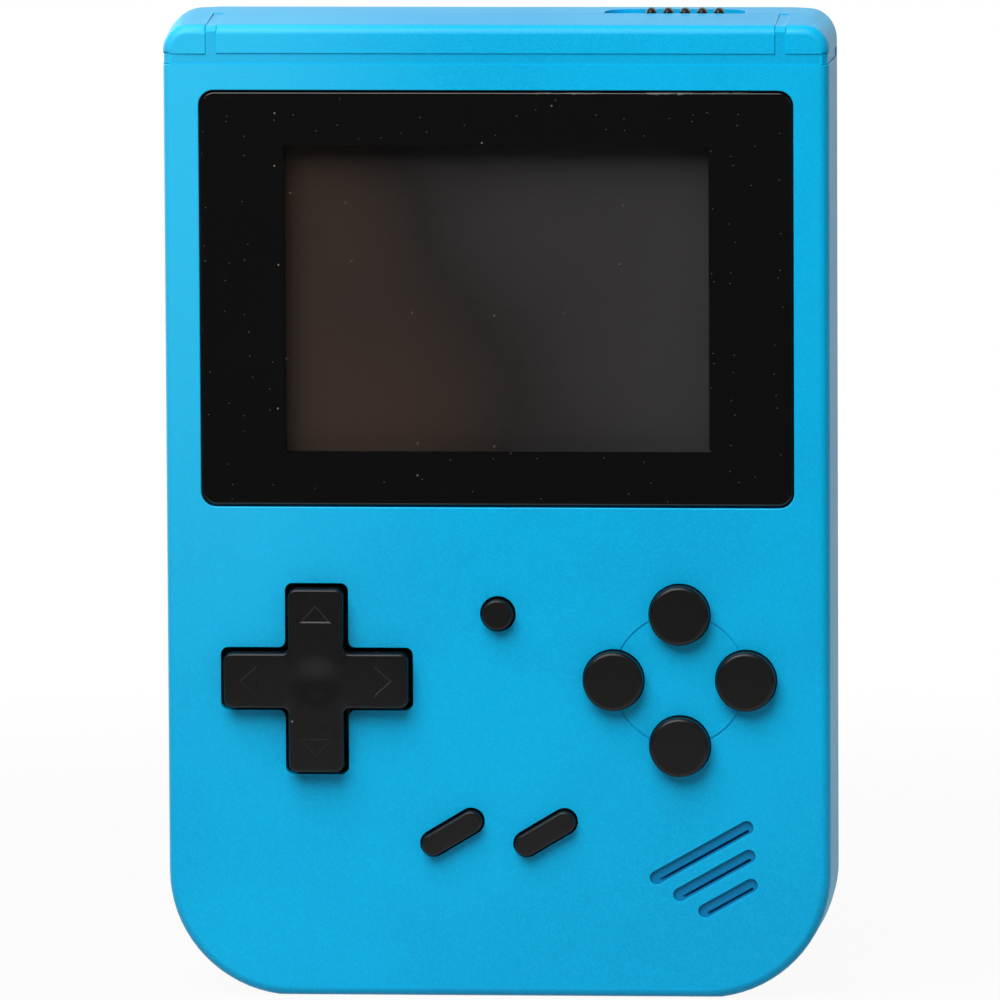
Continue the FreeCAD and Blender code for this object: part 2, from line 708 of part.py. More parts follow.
def hollow_front_case(body):
    seam = front_sketch(body, ZERO)
    case_outline(seam, side_wall)
    deep = front_sketch(body, inner_face)
    case_outline(deep, side_wall + case_draft * (front_depth - front_wall) / front_depth)
    loft(body, "SubtractiveLoft", [seam, deep])
    rebate = front_sketch(body, ZERO)
    case_outline(rebate, side_wall - lip_thickness - lip_clearance)
    pocket(body, rebate, lip_height + lip_clearance, "front")


def cut_case_grooves(body):
    half = case_width / 2
    spare = side_wall
    low = groove_height - groove_width / 2
    band = level_sketch(body, low)
    front_half = half - case_draft
    outline(
        band,
        [
            (-half - spare, ZERO),
            (-half - spare, front_face - spare),
            (half + spare, front_face - spare),
            (half + spare, ZERO),
            (half - groove_depth, ZERO),
            (front_half - groove_depth, front_face + groove_depth),
            (-front_half + groove_depth, front_face + groove_depth),
            (-half + groove_depth, ZERO),
        ],
    )
    pocket(body, band, groove_width, "up")
    for side in (-1, 1):
        strip = side_sketch(body, short_groove_across * side - groove_width / 2)
        outline(
            strip,
            [
                (front_face - spare, groove_height),
                (front_face + groove_depth, groove_height),
                (front_face + groove_depth, case_height - case_draft - groove_depth),
                (ZERO, case_height - groove_depth),
                (ZERO, case_height + spare),
                (front_face - spare, case_height + spare),
            ],
        )
        pocket(body, strip, groove_width, "right")


def lens_rectangle(sketch, width, height, radius=None):
    rectangle(
        sketch, -width / 2, width / 2, lens_centre - height / 2, lens_centre + height / 2, radius
    )


def shape_screen_ledge(body):
    ledge = front_sketch(body, inner_face)
    rim = ledge_rim * 2
    lens_rectangle(ledge, lens_width + rim, lens_height + rim)
    pad(body, ledge, ledge_thickness, "back")
    opening = front_sketch(body, front_face)
    lens_rectangle(opening, lens_width, lens_height, lens_radius)
    pocket(body, opening, ledge_face - front_face, "back")
    window = front_sketch(body, ledge_face)
    lens_rectangle(window, window_width, window_height)
    pocket(body, window, ledge_back - ledge_face, "back")


def cut_button_holes(body):
    cross = front_sketch(body, front_face, -pad_across, pad_height)
    cross_outline(cross, cross_span, cross_arm, cross_tip_radius)
    pocket(body, cross, front_wall, "back")
    holes = front_sketch(body, front_face)
    for x, z in FACE_BUTTONS.values():
        circle(holes, x, z, face_hole_radius)
    circle(holes, ZERO, reset_height, reset_hole_radius)
    pocket(body, holes, front_wall, "back")
    for x in PILL_BUTTONS.values():
        pill = front_sketch(body, front_face, x, pill_height, pill_turn)
        slot(pill, pill_hole_length, pill_hole_width)
        pocket(body, pill, front_wall, "back")


def cut_sound_slots(body):
    for x, z, length in SOUND_SLOTS:
        blind = front_sketch(body, front_face, x, z, slot_turn)
        slot(blind, length + slot_width, slot_width)
        pocket(body, blind, slot_depth, "back")
        slit = front_sketch(body, front_face, x, z, slot_turn)
        foot = slit_width - slot_width / 2
        rectangle(slit, -length / 2, length / 2, foot - slit_width / 2, foot + slit_width / 2)
        pocket(body, slit, front_wall, "back")


def raise_front_bosses(body):
    bosses = front_sketch(body, inner_face)
    for x, z in CASE_BOSSES:
        many_sided(bosses, x, z, boss_radius)
    pad(body, bosses, -inner_face - boss_seam_gap, "back")
    posts = front_sketch(body, inner_face)
    for x, z in BOARD_POSTS:
        many_sided(posts, x, z, post_radius)
    pad(body, posts, board_front - inner_face, "back")
    cup = front_sketch(body, inner_face)
    inner = speaker_radius + cup_gap
    many_sided(cup, speaker_across, speaker_height, inner, WIDE_SIDES)
    many_sided(cup, speaker_across, speaker_height, inner + cup_wall, WIDE_SIDES)
    pad(body, cup, cup_height, "back")
    pilots = front_sketch(body, -boss_seam_gap)
    for x, z in CASE_BOSSES:
        many_sided(pilots, x, z, screw_radius + screw_clearance)
    pocket(body, pilots, case_screw_reach, "front")
    board_pilots = front_sketch(body, board_front)
    for x, z in BOARD_POSTS:
        many_sided(board_pilots, x, z, screw_radius + screw_clearance)
    pocket(body, board_pilots, board_screw_reach + screw_clearance, "front")


def cut_socket_holes(body):
    middle = board_front - usb_thickness / 2
    port = level_sketch(body, ZERO, ZERO, middle)
    half = usb_width / 2 + socket_gap
    tall = usb_thickness / 2 + socket_gap
    rectangle(port, -half, half, -tall, tall, socket_gap)
    pocket(body, port, side_wall, "up")
    jack = level_sketch(body, ZERO, -jack_across, board_front - jack_thickness / 2)
    circle(jack, ZERO, ZERO, jack_nose_radius + socket_gap)
    pocket(body, jack, side_wall, "up")


def make_front_shell():
    body = new_body("front_shell")
    shape_front_case(body)
    hollow_front_case(body)
    shape_screen_ledge(body)
    cut_case_grooves(body)
    raise_front_bosses(body)
    cut_button_holes(body)
    cut_sound_slots(body)
    cut_socket_holes(body)
    return body


# Rear shell

def block_out_rear(body, wall, depth):
    seam = front_sketch(body, ZERO)
    case_outline(seam, wall)
    pad(body, seam, depth, "back")


def door_rectangle(sketch, grow, low_grow=None):
    half = door_width / 2 + grow
    rectangle(
        sketch,
        -half,
        half,
        door_bottom - (low_grow or grow),
        door_bottom + door_height + grow,
        door_radius + grow,
    )


def battery_rectangle(sketch, grow):
    half = battery_width / 2 + battery_gap + grow
    low = battery_bottom - battery_gap - grow
    high = battery_bottom + battery_height + terminal_room + grow
    rectangle(sketch, -half, half, low, high, box_radius + grow)


def shape_battery_box(body):
    ledge = front_sketch(body, door_seat - door_seat_gap - door_ledge)
    door_rectangle(ledge, door_ledge)
    pad(body, ledge, door_ledge + door_seat_gap + (rear_wall - door_thickness), "back")
    box = front_sketch(body, box_front)
    battery_rectangle(box, box_wall)
    pad(body, box, door_seat - box_front - door_ledge, "back")
    recess = front_sketch(body, rear_depth)
    door_rectangle(recess, ZERO)
    pocket(body, recess, door_thickness + door_seat_gap, "front")
    room = front_sketch(body, rear_depth)
    battery_rectangle(room, ZERO)
    pocket(body, room, rear_depth - box_floor, "front")
    for side in (-1, 1):
        hook = front_sketch(body, door_seat - door_seat_gap)
        middle = hook_across * side
        half = hook_width / 2 + hook_room / 2
        low = door_bottom - hook_reach - hook_room
        high = door_bottom + hook_root + hook_room * 2
        rectangle(hook, middle - half, middle + half, low, high)
        pocket(body, hook, hook_drop + hook_thickness + hook_room, "front")


def raise_rear_tubes(body):
    tubes = front_sketch(body, ZERO)
    for x, z in CASE_BOSSES:
        many_sided(tubes, x, z, boss_radius + screw_pass_gap)
    pad(body, tubes, rear_depth, "back")


def sink_case_screws(body):
    through = front_sketch(body, rear_depth)
    for x, z in CASE_BOSSES:
        many_sided(through, x, z, screw_radius + screw_pass_gap)
    pocket(body, through, rear_depth, "front")
    sinks = front_sketch(body, rear_depth)
    for x, z in CASE_BOSSES:
        many_sided(sinks, x, z, screw_head_radius + head_gap)
    pocket(body, sinks, rear_depth - case_screw_seat, "front")


def raise_lip(body):
    lip = front_sketch(body, ZERO)
    case_outline(lip, side_wall - lip_thickness)
    case_outline(lip, side_wall)
    pad(body, lip, lip_height, "front")


def cut_switch_recess(body):
    half = switch_recess_width / 2
    recess = level_sketch(body, recess_floor, switch_recess_across)
    outline(
        recess,
        [
            (-half, ZERO),
            (half, ZERO),
            (half, switch_recess_depth, switch_recess_radius),
            (-half, switch_recess_depth, switch_recess_radius),
        ],
    )
    pocket(body, recess, switch_recess_drop * 2, "up")
    stem = level_sketch(body, recess_floor)
    left = knob_across - switch_travel - stem_width / 2 - stem_gap
    right = knob_across + stem_width / 2 + stem_gap
    near = stem_back - stem_gap
    rectangle(stem, left, right, near, near + stem_depth + stem_gap * 2)
    pocket(body, stem, side_wall, "down")


def make_rear_shell():
    cavity = new_body("rear_cavity")
    depth = rear_depth - rear_wall
    block_out_rear(cavity, side_wall, depth)
    run = plan_run - side_wall
    near = plan_near_radius - side_wall
    cut_plan(cavity, case_width / 2 - side_wall, depth, run, near, side_wall)
    body = new_body("rear_shell")
    block_out_rear(body, ZERO, rear_depth)
    join_cut(body, cavity)
    raise_rear_tubes(body)
    cut_plan(body, case_width / 2, rear_depth, plan_run, plan_near_radius, side_wall)
    cut_side(body, side_wall)
    raise_lip(body)
    shape_battery_box(body)
    sink_case_screws(body)
    cut_switch_recess(body)
    return body


# Screen parts

def make_plate(label, face, thickness, width, height, radius=None, hole=None):
    body = new_body(label)
    sketch = front_sketch(body, face)
    lens_rectangle(sketch, width, height, radius)
    if hole:
        lens_rectangle(sketch, *hole)
    pad(body, sketch, thickness, "back")
    return body


def make_screen():
    width, height = lens_width - lens_gap * 2, lens_height - lens_gap * 2
    radius = lens_radius - lens_gap
    lens = make_plate("screen_lens", lens_face, lens_thickness, width, height, radius)
    bevel_edges(lens, lens_bevel, in_plane("Y", lens_face))
    tape_hole = (width - tape_width * 2, height - tape_width * 2)
    tape = make_plate("lens_tape", tape_face, tape_thickness, width, height, radius, tape_hole)
    panel = (panel_width, panel_height)
    window = (window_width, window_height)
    foam = make_plate("display_gasket", ledge_back, panel_gasket, *panel, hole=window)
    glass = make_plate("display_panel", panel_face, panel_thickness, *panel)
    guide = make_plate("display_backlight", backlight_face, backlight_thickness, *panel)
    grip = (panel_width - tape_width * 2, panel_height - tape_width * 2)
    gap = board_front - panel_tape_face
    back_tape = make_plate("display_tape", panel_tape_face, gap, *panel, hole=grip)
    return [lens, tape, foam, glass, guide, back_tape]


def make_display_flex():
    body = new_body("display_flex")
    low = lens_centre - panel_height / 2
    out = panel_face + panel_thickness / 2
    bend = low - flex_drop
    foot = bend - flex_slope
    sketch = side_sketch(body, -flex_width / 2)
    outline(
        sketch,
        [
            (out, low),
            (out, bend),
            (board_front - flex_thickness, foot),
            (board_front - flex_thickness, foot - flex_foot),
            (board_front, foot - flex_foot),
            (board_front, foot),
            (out + flex_thickness, bend),
            (out + flex_thickness, low),
        ],
    )
    pad(body, sketch, flex_width, "right")
    return body


# Board

def make_main_board():
    body = new_body("main_board")
    sketch = front_sketch(body, board_front)
    half = case_width / 2 - side_wall - case_draft - board_gap
    low = side_wall + board_gap
    top = case_height - side_wall - case_draft - board_gap
    notch = boss_radius + notch_gap
    foot_in, foot_out = foot_boss_across - notch, foot_boss_across + notch
    foot_top = foot_boss_height + notch
    shoulder = boss_top - notch
    neck = boss_across - notch
    cup = speaker_radius + cup_gap + cup_wall + notch_gap
    cup_left, cup_top = speaker_across - cup, speaker_height + cup
    outline(
        sketch,
        [
            (-half, low, bottom_radius - side_wall - case_draft - board_gap),
            (-foot_out, low), (-foot_out, foot_top), (-foot_in, foot_top), (-foot_in, low),
            (foot_in, low), (foot_in, foot_top), (foot_out, foot_top), (foot_out, low),
            (cup_left, low), (cup_left, cup_top), (half, cup_top),
            (half, shoulder), (neck, shoulder), (neck, top),
            (-neck, top), (-neck, shoulder), (-half, shoulder),
        ],
    )
    pad(body, sketch, board_thickness, "back")
    holes = front_sketch(body, board_front)
    for x, z in BOARD_POSTS:
        many_sided(holes, x, z, screw_radius + screw_pass_gap)
    pocket(body, holes, board_thickness, "back")
    return body


def make_board_parts():
    processor = new_body("processor")
    square = front_sketch(processor, board_back, ZERO, processor_height)
    half = processor_width / 2
    rectangle(square, -half, half, -half, half)
    pad(processor, square, processor_rise, "back")
    chips = new_body("board_chips")
    for x, z, width, height in (
        (chip_across, processor_height, chip_width, chip_width),
        (-chip_across, processor_height, chip_width, small_chip_width),
        (ZERO, charge_chip_height, small_chip_width, small_chip_width),
    ):
        patch = front_sketch(chips, board_back, x, z)
        rectangle(patch, -width / 2, width / 2, -height / 2, height / 2)
        pad(chips, patch, chip_rise, "back")
    return [processor, chips]


# Controls

def add_dome(body, x, z, radius, back):
    sketch = front_sketch(body, sheet_face, x, z)
    many_sided(sketch, ZERO, ZERO, radius)
    pad(body, sketch, sheet_face - back, "front")


def make_direction_pad():
    body = new_body("direction_pad")
    sketch = front_sketch(body, cross_flange_face, -pad_across, pad_height)
    gap = cross_gap * 2
    cross_outline(sketch, cross_span - gap, cross_arm - gap, cross_tip_radius - cross_gap / 2)
    pad(body, sketch, cross_flange_face - front_face + cross_rise, "front")
    cap_top = front_face - cross_rise
    bevel_edges(body, cross_bevel, in_plane("Y", cap_top))
    flange = front_sketch(body, cross_flange_face, -pad_across, pad_height)
    many_sided(flange, ZERO, ZERO, cross_plate_radius, 8)
    pad(body, flange, cross_flange_thickness, "back")
    pivot = front_sketch(body, cross_flange_back, -pad_across, pad_height)
    many_sided(pivot, ZERO, ZERO, pivot_radius)
    pad(body, pivot, board_front - pivot_gap - cross_flange_back, "back")
    cut_arrows(body, cap_top)
    return body


def cut_arrows(body, cap_top):
    for quarter in range(4):
        turn = Size(f"{90 * quarter}", 90.0 * quarter)
        sketch = front_sketch(body, cap_top, -pad_across, pad_height, turn)
        outline(
            sketch,
            [
                (arrow_base / -2, arrow_start),
                (arrow_base / 2, arrow_start),
                (ZERO, arrow_start + arrow_length),
            ],
        )
        pocket(body, sketch, arrow_depth, "back")


def make_direction_sheet():
    body = new_body("direction_pad_sheet")
    sketch = front_sketch(body, sheet_back, -pad_across, pad_height)
    half = cross_dome_across + sheet_margin
    rectangle(sketch, -half, half, -half, half)
    many_sided(sketch, ZERO, ZERO, pivot_radius + notch_gap)
    pad(body, sketch, sheet_thickness, "front")
    for side in (-1, 1):
        x = -pad_across + cross_dome_across * side
        add_dome(body, x, pad_height, small_dome_radius, cross_flange_back)
        z = pad_height + cross_dome_across * side
        add_dome(body, -pad_across, z, small_dome_radius, cross_flange_back)
    return body


# A cap is held in by two ears, one at each end of a bar across its back
def add_ears(body, x, z, reach, turn=None):
    bar = front_sketch(body, flange_face, x, z, turn)
    rectangle(bar, -reach, reach, ear_width / -2, ear_width / 2)
    pad(body, bar, flange_thickness, "back")


def make_round_button(label, x, z, hole_radius, rise):
    body = new_body(label)
    cap = front_sketch(body, flange_face, x, z)
    circle(cap, ZERO, ZERO, hole_radius - button_gap)
    pad(body, cap, flange_face - front_face + rise, "front")
    bevel_edges(body, button_bevel, in_plane("Y", front_face - rise))
    add_ears(body, x, z, hole_radius + ear_overlap)
    return body


def make_pill_button(label, x):
    body = new_body(label)
    gap = button_gap * 2
    cap = front_sketch(body, flange_face, x, pill_height, pill_turn)
    slot(cap, pill_hole_length - gap, pill_hole_width - gap)
    pad(body, cap, flange_face - front_face + pill_rise, "front")
    bevel_edges(body, button_bevel, in_plane("Y", front_face - pill_rise))
    add_ears(body, x, pill_height, pill_hole_length / 2 + ear_overlap, pill_turn)
    return body


def make_face_sheet():
    body = new_body("face_button_sheet")
    sketch = front_sketch(body, sheet_back, pad_across, pad_height)
    half = cluster_radius + sheet_margin
    rectangle(sketch, -half, half, -half, half)
    pad(body, sketch, sheet_thickness, "front")
    for x, z in FACE_BUTTONS.values():
        add_dome(body, x, z, dome_radius, flange_back)
    return body


def make_centre_sheet():
    body = new_body("centre_button_sheet")
    sketch = front_sketch(body, sheet_back)
    half = pill_across + sheet_margin
    rectangle(sketch, -half, half, pill_height - sheet_margin, reset_height + sheet_margin)
    many_sided(sketch, ZERO, post_middle_height, post_radius + notch_gap)
    pad(body, sketch, sheet_thickness, "front")
    add_dome(body, ZERO, reset_height, small_dome_radius, flange_back)
    for x in PILL_BUTTONS.values():
        add_dome(body, x, pill_height, small_dome_radius, flange_back)
    return body


def make_controls():
    parts = [make_direction_pad(), make_direction_sheet()]
    for label, (x, z) in FACE_BUTTONS.items():
        parts.append(make_round_button(label, x, z, face_hole_radius, face_rise))
    parts.append(make_face_sheet())
    parts.append(
        make_round_button("reset_button", ZERO, reset_height, reset_hole_radius, reset_rise)
    )
    for label, x in PILL_BUTTONS.items():
        parts.append(make_pill_button(label, x))
    parts.append(make_centre_sheet())
    return parts


# Power switch

def make_switch_knob():
    body = new_body("power_switch_knob")
    half = knob_length / 2
    near = knob_wall_gap
    plate = level_sketch(body, knob_floor, knob_across)
    rectangle(plate, -half, half, near, near + knob_depth)
    pad(body, plate, knob_thickness, "up")
    axis_height = knob_floor + knob_thickness + ridge_lift
    ridges = front_sketch(body, near + knob_gap, knob_across, axis_height)
    for step in range(-2, 3):
        many_sided(ridges, ridge_pitch * step, ZERO, ridge_radius)
    pad(body, ridges, knob_depth - knob_gap * 2, "back")
    stem = level_sketch(body, knob_floor, knob_across)
    wide = stem_width / 2
    rectangle(stem, -wide, wide, stem_back, stem_back + stem_depth)
    stem_foot = switch_top + lever_gap
    pad(body, stem, knob_floor - stem_foot, "down")
    socket = level_sketch(body, stem_foot, knob_across)
    lever = lever_width / 2 + lever_gap
    middle = stem_back + stem_depth / 2
    rectangle(socket, -lever, lever, middle - lever, middle + lever)
    pocket(body, socket, lever_reach, "up")
    return body


def make_switch_body():
    body = new_body("power_switch_body")
    middle = knob_across - switch_travel / 2
    low = switch_top - switch_height
    block = front_sketch(body, board_back, middle)
    half = switch_length / 2
    rectangle(block, -half, half, low, switch_top)
    pad(body, block, switch_rise, "back")
    lever = lever_width / 2 + lever_gap
    groove = level_sketch(body, switch_top, middle)
    run = switch_travel / 2 + lever
    depth = stem_back + stem_depth / 2
    rectangle(groove, -run, run, depth - lever, depth + lever)
    pocket(body, groove, lever_reach + lever_gap, "down")
    return body


def make_switch_lever():
    body = new_body("power_switch_lever")
    half = lever_width / 2
    middle = stem_back + stem_depth / 2
    sketch = level_sketch(body, switch_top - lever_reach, knob_across)
    rectangle(sketch, -half, half, middle - half, middle + half)
    pad(body, sketch, lever_reach * 2 - lever_gap, "up")
    return body


# Sockets

def make_usb_socket():
    shell = new_body("charging_socket")
    middle = board_front - usb_thickness / 2
    half, tall = usb_width / 2, usb_thickness / 2
    tube = level_sketch(shell, usb_recess, ZERO, middle)
    rectangle(tube, -half, half, -tall, tall, usb_shell * 2)
    inner_half, inner_tall = half - usb_shell, tall - usb_shell
    rectangle(tube, -inner_half, inner_half, -inner_tall, inner_tall)
    pad(shell, tube, usb_length, "up")
    tongue = new_body("charging_socket_tongue")
    plug = level_sketch(tongue, usb_recess + usb_length - usb_shell * 3, ZERO, middle)
    rectangle(plug, -inner_half, inner_half, -inner_tall, inner_tall)
    pad(tongue, plug, usb_shell * 3, "up")
    blade = level_sketch(tongue, usb_recess + usb_shell * 2, ZERO, middle)
    wide, thin = usb_tongue_width / 2, usb_tongue_thickness / 2
    rectangle(blade, -wide, wide, -thin, thin)
    pad(tongue, blade, usb_length - usb_shell * 3, "up")
    return [shell, tongue]


def make_av_jack():
    body = new_body("av_jack")
    middle = board_front - jack_thickness / 2
    low = usb_recess + jack_nose_length
    block = level_sketch(body, low, -jack_across, middle)
    half, tall = jack_width / 2, jack_thickness / 2
    rectangle(block, -half, half, -tall, tall)
    pad(body, block, jack_length, "up")
    nose = level_sketch(body, usb_recess, -jack_across, middle)
    circle(nose, ZERO, ZERO, jack_nose_radius)
    pad(body, nose, jack_nose_length, "up")
    bore = level_sketch(body, usb_recess, -jack_across, middle)
    circle(bore, ZERO, ZERO, jack_bore_radius)
    pocket(body, bore, jack_bore_length, "up")
    return body


# Loudspeaker

def make_speaker():
    gasket = new_body("speaker_gasket")
    ring = front_sketch(gasket, inner_face, speaker_across, speaker_height)
    many_sided(ring, ZERO, ZERO, speaker_radius, WIDE_SIDES)
    many_sided(ring, ZERO, ZERO, speaker_radius - speaker_gasket_width, WIDE_SIDES)
    pad(gasket, ring, speaker_gasket, "back")
    speaker = new_body("speaker")
    face = inner_face + speaker_gasket
    basket = front_sketch(speaker, face, speaker_across, speaker_height)
    many_sided(basket, ZERO, ZERO, speaker_radius, WIDE_SIDES)
    pad(speaker, basket, basket_depth, "back")
    magnet = front_sketch(speaker, face + basket_depth, speaker_across, speaker_height)
    many_sided(magnet, ZERO, ZERO, magnet_radius, WIDE_SIDES)
    pad(speaker, magnet, speaker_depth - basket_depth, "back")
    cone = front_sketch(speaker, face, speaker_across, speaker_height)
    many_sided(cone, ZERO, ZERO, speaker_radius - speaker_gasket_width, WIDE_SIDES)
    pocket(speaker, cone, cone_depth, "back")
    return [gasket, speaker]


# Battery, terminals and door

def make_battery():
    body = new_body("battery")
    half = battery_width / 2
    sketch = front_sketch(body, box_floor)
    high = battery_bottom + battery_height
    rectangle(sketch, -half, half, battery_bottom, high)
    pad(body, sketch, battery_thickness, "back")
    return body


def make_terminals():
    block = new_body("terminal_block")
    low = battery_bottom + battery_height + terminal_block_gap
    high = battery_bottom + battery_height + terminal_room
    sketch = front_sketch(block, box_floor)
    half = terminal_block_width / 2
    rectangle(sketch, -half, half, low, high)
    pad(block, sketch, battery_thickness - battery_gap, "back")
    blades = new_body("battery_terminals")
    near = box_floor + (battery_thickness - terminal_height) / 2
    for step in (-1, 0, 1):
        blade = front_sketch(blades, near, terminal_pitch * step)
        wide = terminal_width / 2
        rectangle(blade, -wide, wide, battery_bottom + battery_height, low)
        pad(blades, blade, terminal_height, "back")
    return [block, blades]


def make_battery_door():
    body = new_body("battery_door")
    plate = front_sketch(body, rear_depth)
    door_rectangle(plate, -door_gap)
    pad(body, plate, door_thickness, "front")
    bevel_edges(body, door_bevel, in_plane("Y", rear_depth))
    for side in (-1, 1):
        middle = hook_across * side
        half = hook_width / 2
        face = door_seat - hook_drop
        low = door_bottom - hook_reach
        high = door_bottom + door_gap + hook_root
        hook = front_sketch(body, face)
        rectangle(hook, middle - half, middle + half, low, high)
        pad(body, hook, hook_thickness, "front")
        root = front_sketch(body, door_seat)
        rectangle(root, middle - half, middle + half, door_bottom + door_gap * 2, high)
        pad(body, root, hook_drop, "front")
    top = door_bottom + door_height - door_gap
    half = latch_width / 2
    slit = front_sketch(body, rear_depth)
    low = top - latch_length
    outline(
        slit,
        [
            (-half - latch_slit, top), (-half - latch_slit, low), (-half, low), (-half, top),
        ],
    )
    outline(
        slit,
        [
            (half, top), (half, low), (half + latch_slit, low), (half + latch_slit, top),
        ],
    )
    pocket(body, slit, door_thickness, "front")
    for step in range(4):
        rib = front_sketch(body, rear_depth)
        middle = top - latch_rib_pitch * (step + 1.5)
        rectangle(
            rib,
            -half + latch_slit,
            half - latch_slit,
            middle - latch_rib_rise,
            middle + latch_rib_rise,
        )
        pad(body, rib, latch_rib_rise, "back")
    return body


# Screws

def add_screws(body, places, seat, reach):
    shanks = front_sketch(body, seat)
    heads = front_sketch(body, seat)
    for x, z in places:
        many_sided(shanks, x, z, screw_radius)
        many_sided(heads, x, z, screw_head_radius)
    pad(body, shanks, reach, "front")
    pad(body, heads, screw_head_height, "back")
    return body


def make_screws():
    seat, reach = case_screw_seat, case_screw_seat + case_screw_reach
    case_screws = add_screws(new_body("case_screws"), CASE_BOSSES, seat, reach)
    reach = board_thickness + board_screw_reach
    board_screws = add_screws(new_body("board_screws"), BOARD_POSTS, board_back, reach)
    return [case_screws, board_screws]


document.recompute()
nodes = [make_front_shell(), make_rear_shell()]
nodes += make_screen()
nodes += [make_display_flex(), make_main_board()]
nodes += make_board_parts()
nodes += make_controls()
nodes += [make_switch_knob(), make_switch_body(), make_switch_lever()]
nodes += make_usb_socket()
nodes += [make_av_jack()]
nodes += make_speaker()
nodes += [make_battery()]
nodes += make_terminals()
nodes += [make_battery_door()]
nodes += make_screws()
document.recompute()

for thing in document.Objects:
    if {"Invalid", "Error"} & set(thing.State):
        raise RuntimeError(f"{thing.Name} is {thing.State}")
for node in nodes:
    if node.Shape.isNull() or not node.Shape.isValid() or node.Shape.Volume < TINY:
        raise RuntimeError(f"{node.Label} has no valid shape")

os.makedirs("parts", exist_ok=True)
for node in nodes:
    node.Shape.exportStep(f"parts/{node.Label}.step")
    box = node.Shape.BoundBox
    print(
        f"{node.Label}: {len(node.Shape.Solids)} solids,"
        f" X {box.XMin:.2f} {box.XMax:.2f}, Y {box.YMin:.2f} {box.YMax:.2f},"
        f" Z {box.ZMin:.2f} {box.ZMax:.2f}"
    )
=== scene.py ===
import json
import math

import bmesh
import bpy
from mathutils import Matrix, Vector, geometry


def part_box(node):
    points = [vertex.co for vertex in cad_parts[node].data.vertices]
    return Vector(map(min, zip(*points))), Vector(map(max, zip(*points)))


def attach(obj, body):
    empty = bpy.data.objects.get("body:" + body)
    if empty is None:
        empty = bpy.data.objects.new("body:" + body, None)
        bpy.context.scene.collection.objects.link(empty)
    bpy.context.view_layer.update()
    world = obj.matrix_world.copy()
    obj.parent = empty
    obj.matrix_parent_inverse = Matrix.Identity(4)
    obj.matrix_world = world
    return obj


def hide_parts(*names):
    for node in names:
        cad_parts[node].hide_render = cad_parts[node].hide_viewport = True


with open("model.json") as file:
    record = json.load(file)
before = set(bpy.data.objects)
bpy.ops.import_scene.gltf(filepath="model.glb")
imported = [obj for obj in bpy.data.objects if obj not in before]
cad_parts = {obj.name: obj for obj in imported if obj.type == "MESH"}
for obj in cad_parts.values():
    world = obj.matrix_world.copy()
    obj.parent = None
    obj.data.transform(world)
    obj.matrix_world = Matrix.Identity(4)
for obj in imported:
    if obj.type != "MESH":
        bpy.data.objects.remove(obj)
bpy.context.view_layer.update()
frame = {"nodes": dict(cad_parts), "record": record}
nodes = frame["nodes"]
bodies = frame["record"]["behaviour"]["bodies"]
bodyOf = {node: body for body, group in bodies.items() for node in group}
mm = 0.001  # lengths below are in millimetres and become metres when a piece is finished
print("frame loaded:", len(nodes), "nodes")


# Shader sums, written as sums
class Value:
    def __init__(self, graph, socket):
        self.graph = graph
        self.socket = socket

    def of(self, output):
        return Value(self.graph, self.socket.node.outputs[output])

    def sum(self, operation, first, second):
        return self.graph.node("ShaderNodeMath", {"operation": operation}, [first, second])

    def __add__(self, other):
        return self.sum("ADD", self, other)

    def __radd__(self, other):
        return self.sum("ADD", other, self)

    def __sub__(self, other):
        return self.sum("SUBTRACT", self, other)

    def __rsub__(self, other):
        return self.sum("SUBTRACT", other, self)

    def __mul__(self, other):
        return self.sum("MULTIPLY", self, other)

    def __rmul__(self, other):
        return self.sum("MULTIPLY", other, self)


class Graph:
    def __init__(self, tree):
        self.tree = tree
        self.tree.nodes.clear()

    def node(self, kind, settings=None, values=None, output=0):
        made = self.tree.nodes.new(kind)
        for name, setting in (settings or {}).items():
            if name == "stops":
                setStops(made.color_ramp, setting)
            else:
                setattr(made, name, setting)
        pairs = values.items() if isinstance(values, dict) else enumerate(values or [])
        for key, value in pairs:
            if isinstance(value, Value):
                self.tree.links.new(value.socket, made.inputs[key])
            elif value is not None:
                made.inputs[key].default_value = value
        return Value(self, made.outputs[output]) if made.outputs else made


def setStops(ramp, stops):
    while len(ramp.elements) < len(stops):
        ramp.elements.new(0.5)  # anywhere, because each stop gets its place below
    for element, (place, tone) in zip(ramp.elements, stops):
        element.position = place
        element.color = (*tone, 1)


def inMillimetres(graph, stretch=(1, 1, 1)):
    place = graph.node("ShaderNodeTexCoord", output="Object")
    scale = [part / mm for part in stretch]
    return graph.node("ShaderNodeMapping", {}, {"Vector": place, "Scale": scale})


noiseMiddle = 0.5  # a noise swings both ways about this


def grain(graph, place, size, detail=2.0):
    return graph.node("ShaderNodeTexNoise", {}, {"Vector": place, "Scale": 1 / size, "Detail": detail})


# 0 at the start and 1 at the end, also where the start is the higher one
def ease(graph, value, start, end):
    sockets = {"Value": value, "From Min": start, "From Max": end}
    return graph.node("ShaderNodeMapRange", {"interpolation_type": "SMOOTHSTEP"}, sockets)


def blend(graph, amount, first, second):
    sockets = {"Factor": amount, 6: first, 7: second}  # inputs 6 and 7 and output 2 hold the colours
    return graph.node("ShaderNodeMix", {"data_type": "RGBA"}, sockets, output=2)


def biggest(graph, first, second):
    return graph.node("ShaderNodeMath", {"operation": "MAXIMUM"}, [first, second])


def smallest(graph, first, second):
    return graph.node("ShaderNodeMath", {"operation": "MINIMUM"}, [first, second])


def size(graph, value):
    return graph.node("ShaderNodeMath", {"operation": "ABSOLUTE"}, [value])


def split(graph, place):
    return graph.node("ShaderNodeSeparateXYZ", {}, [place], output="X")


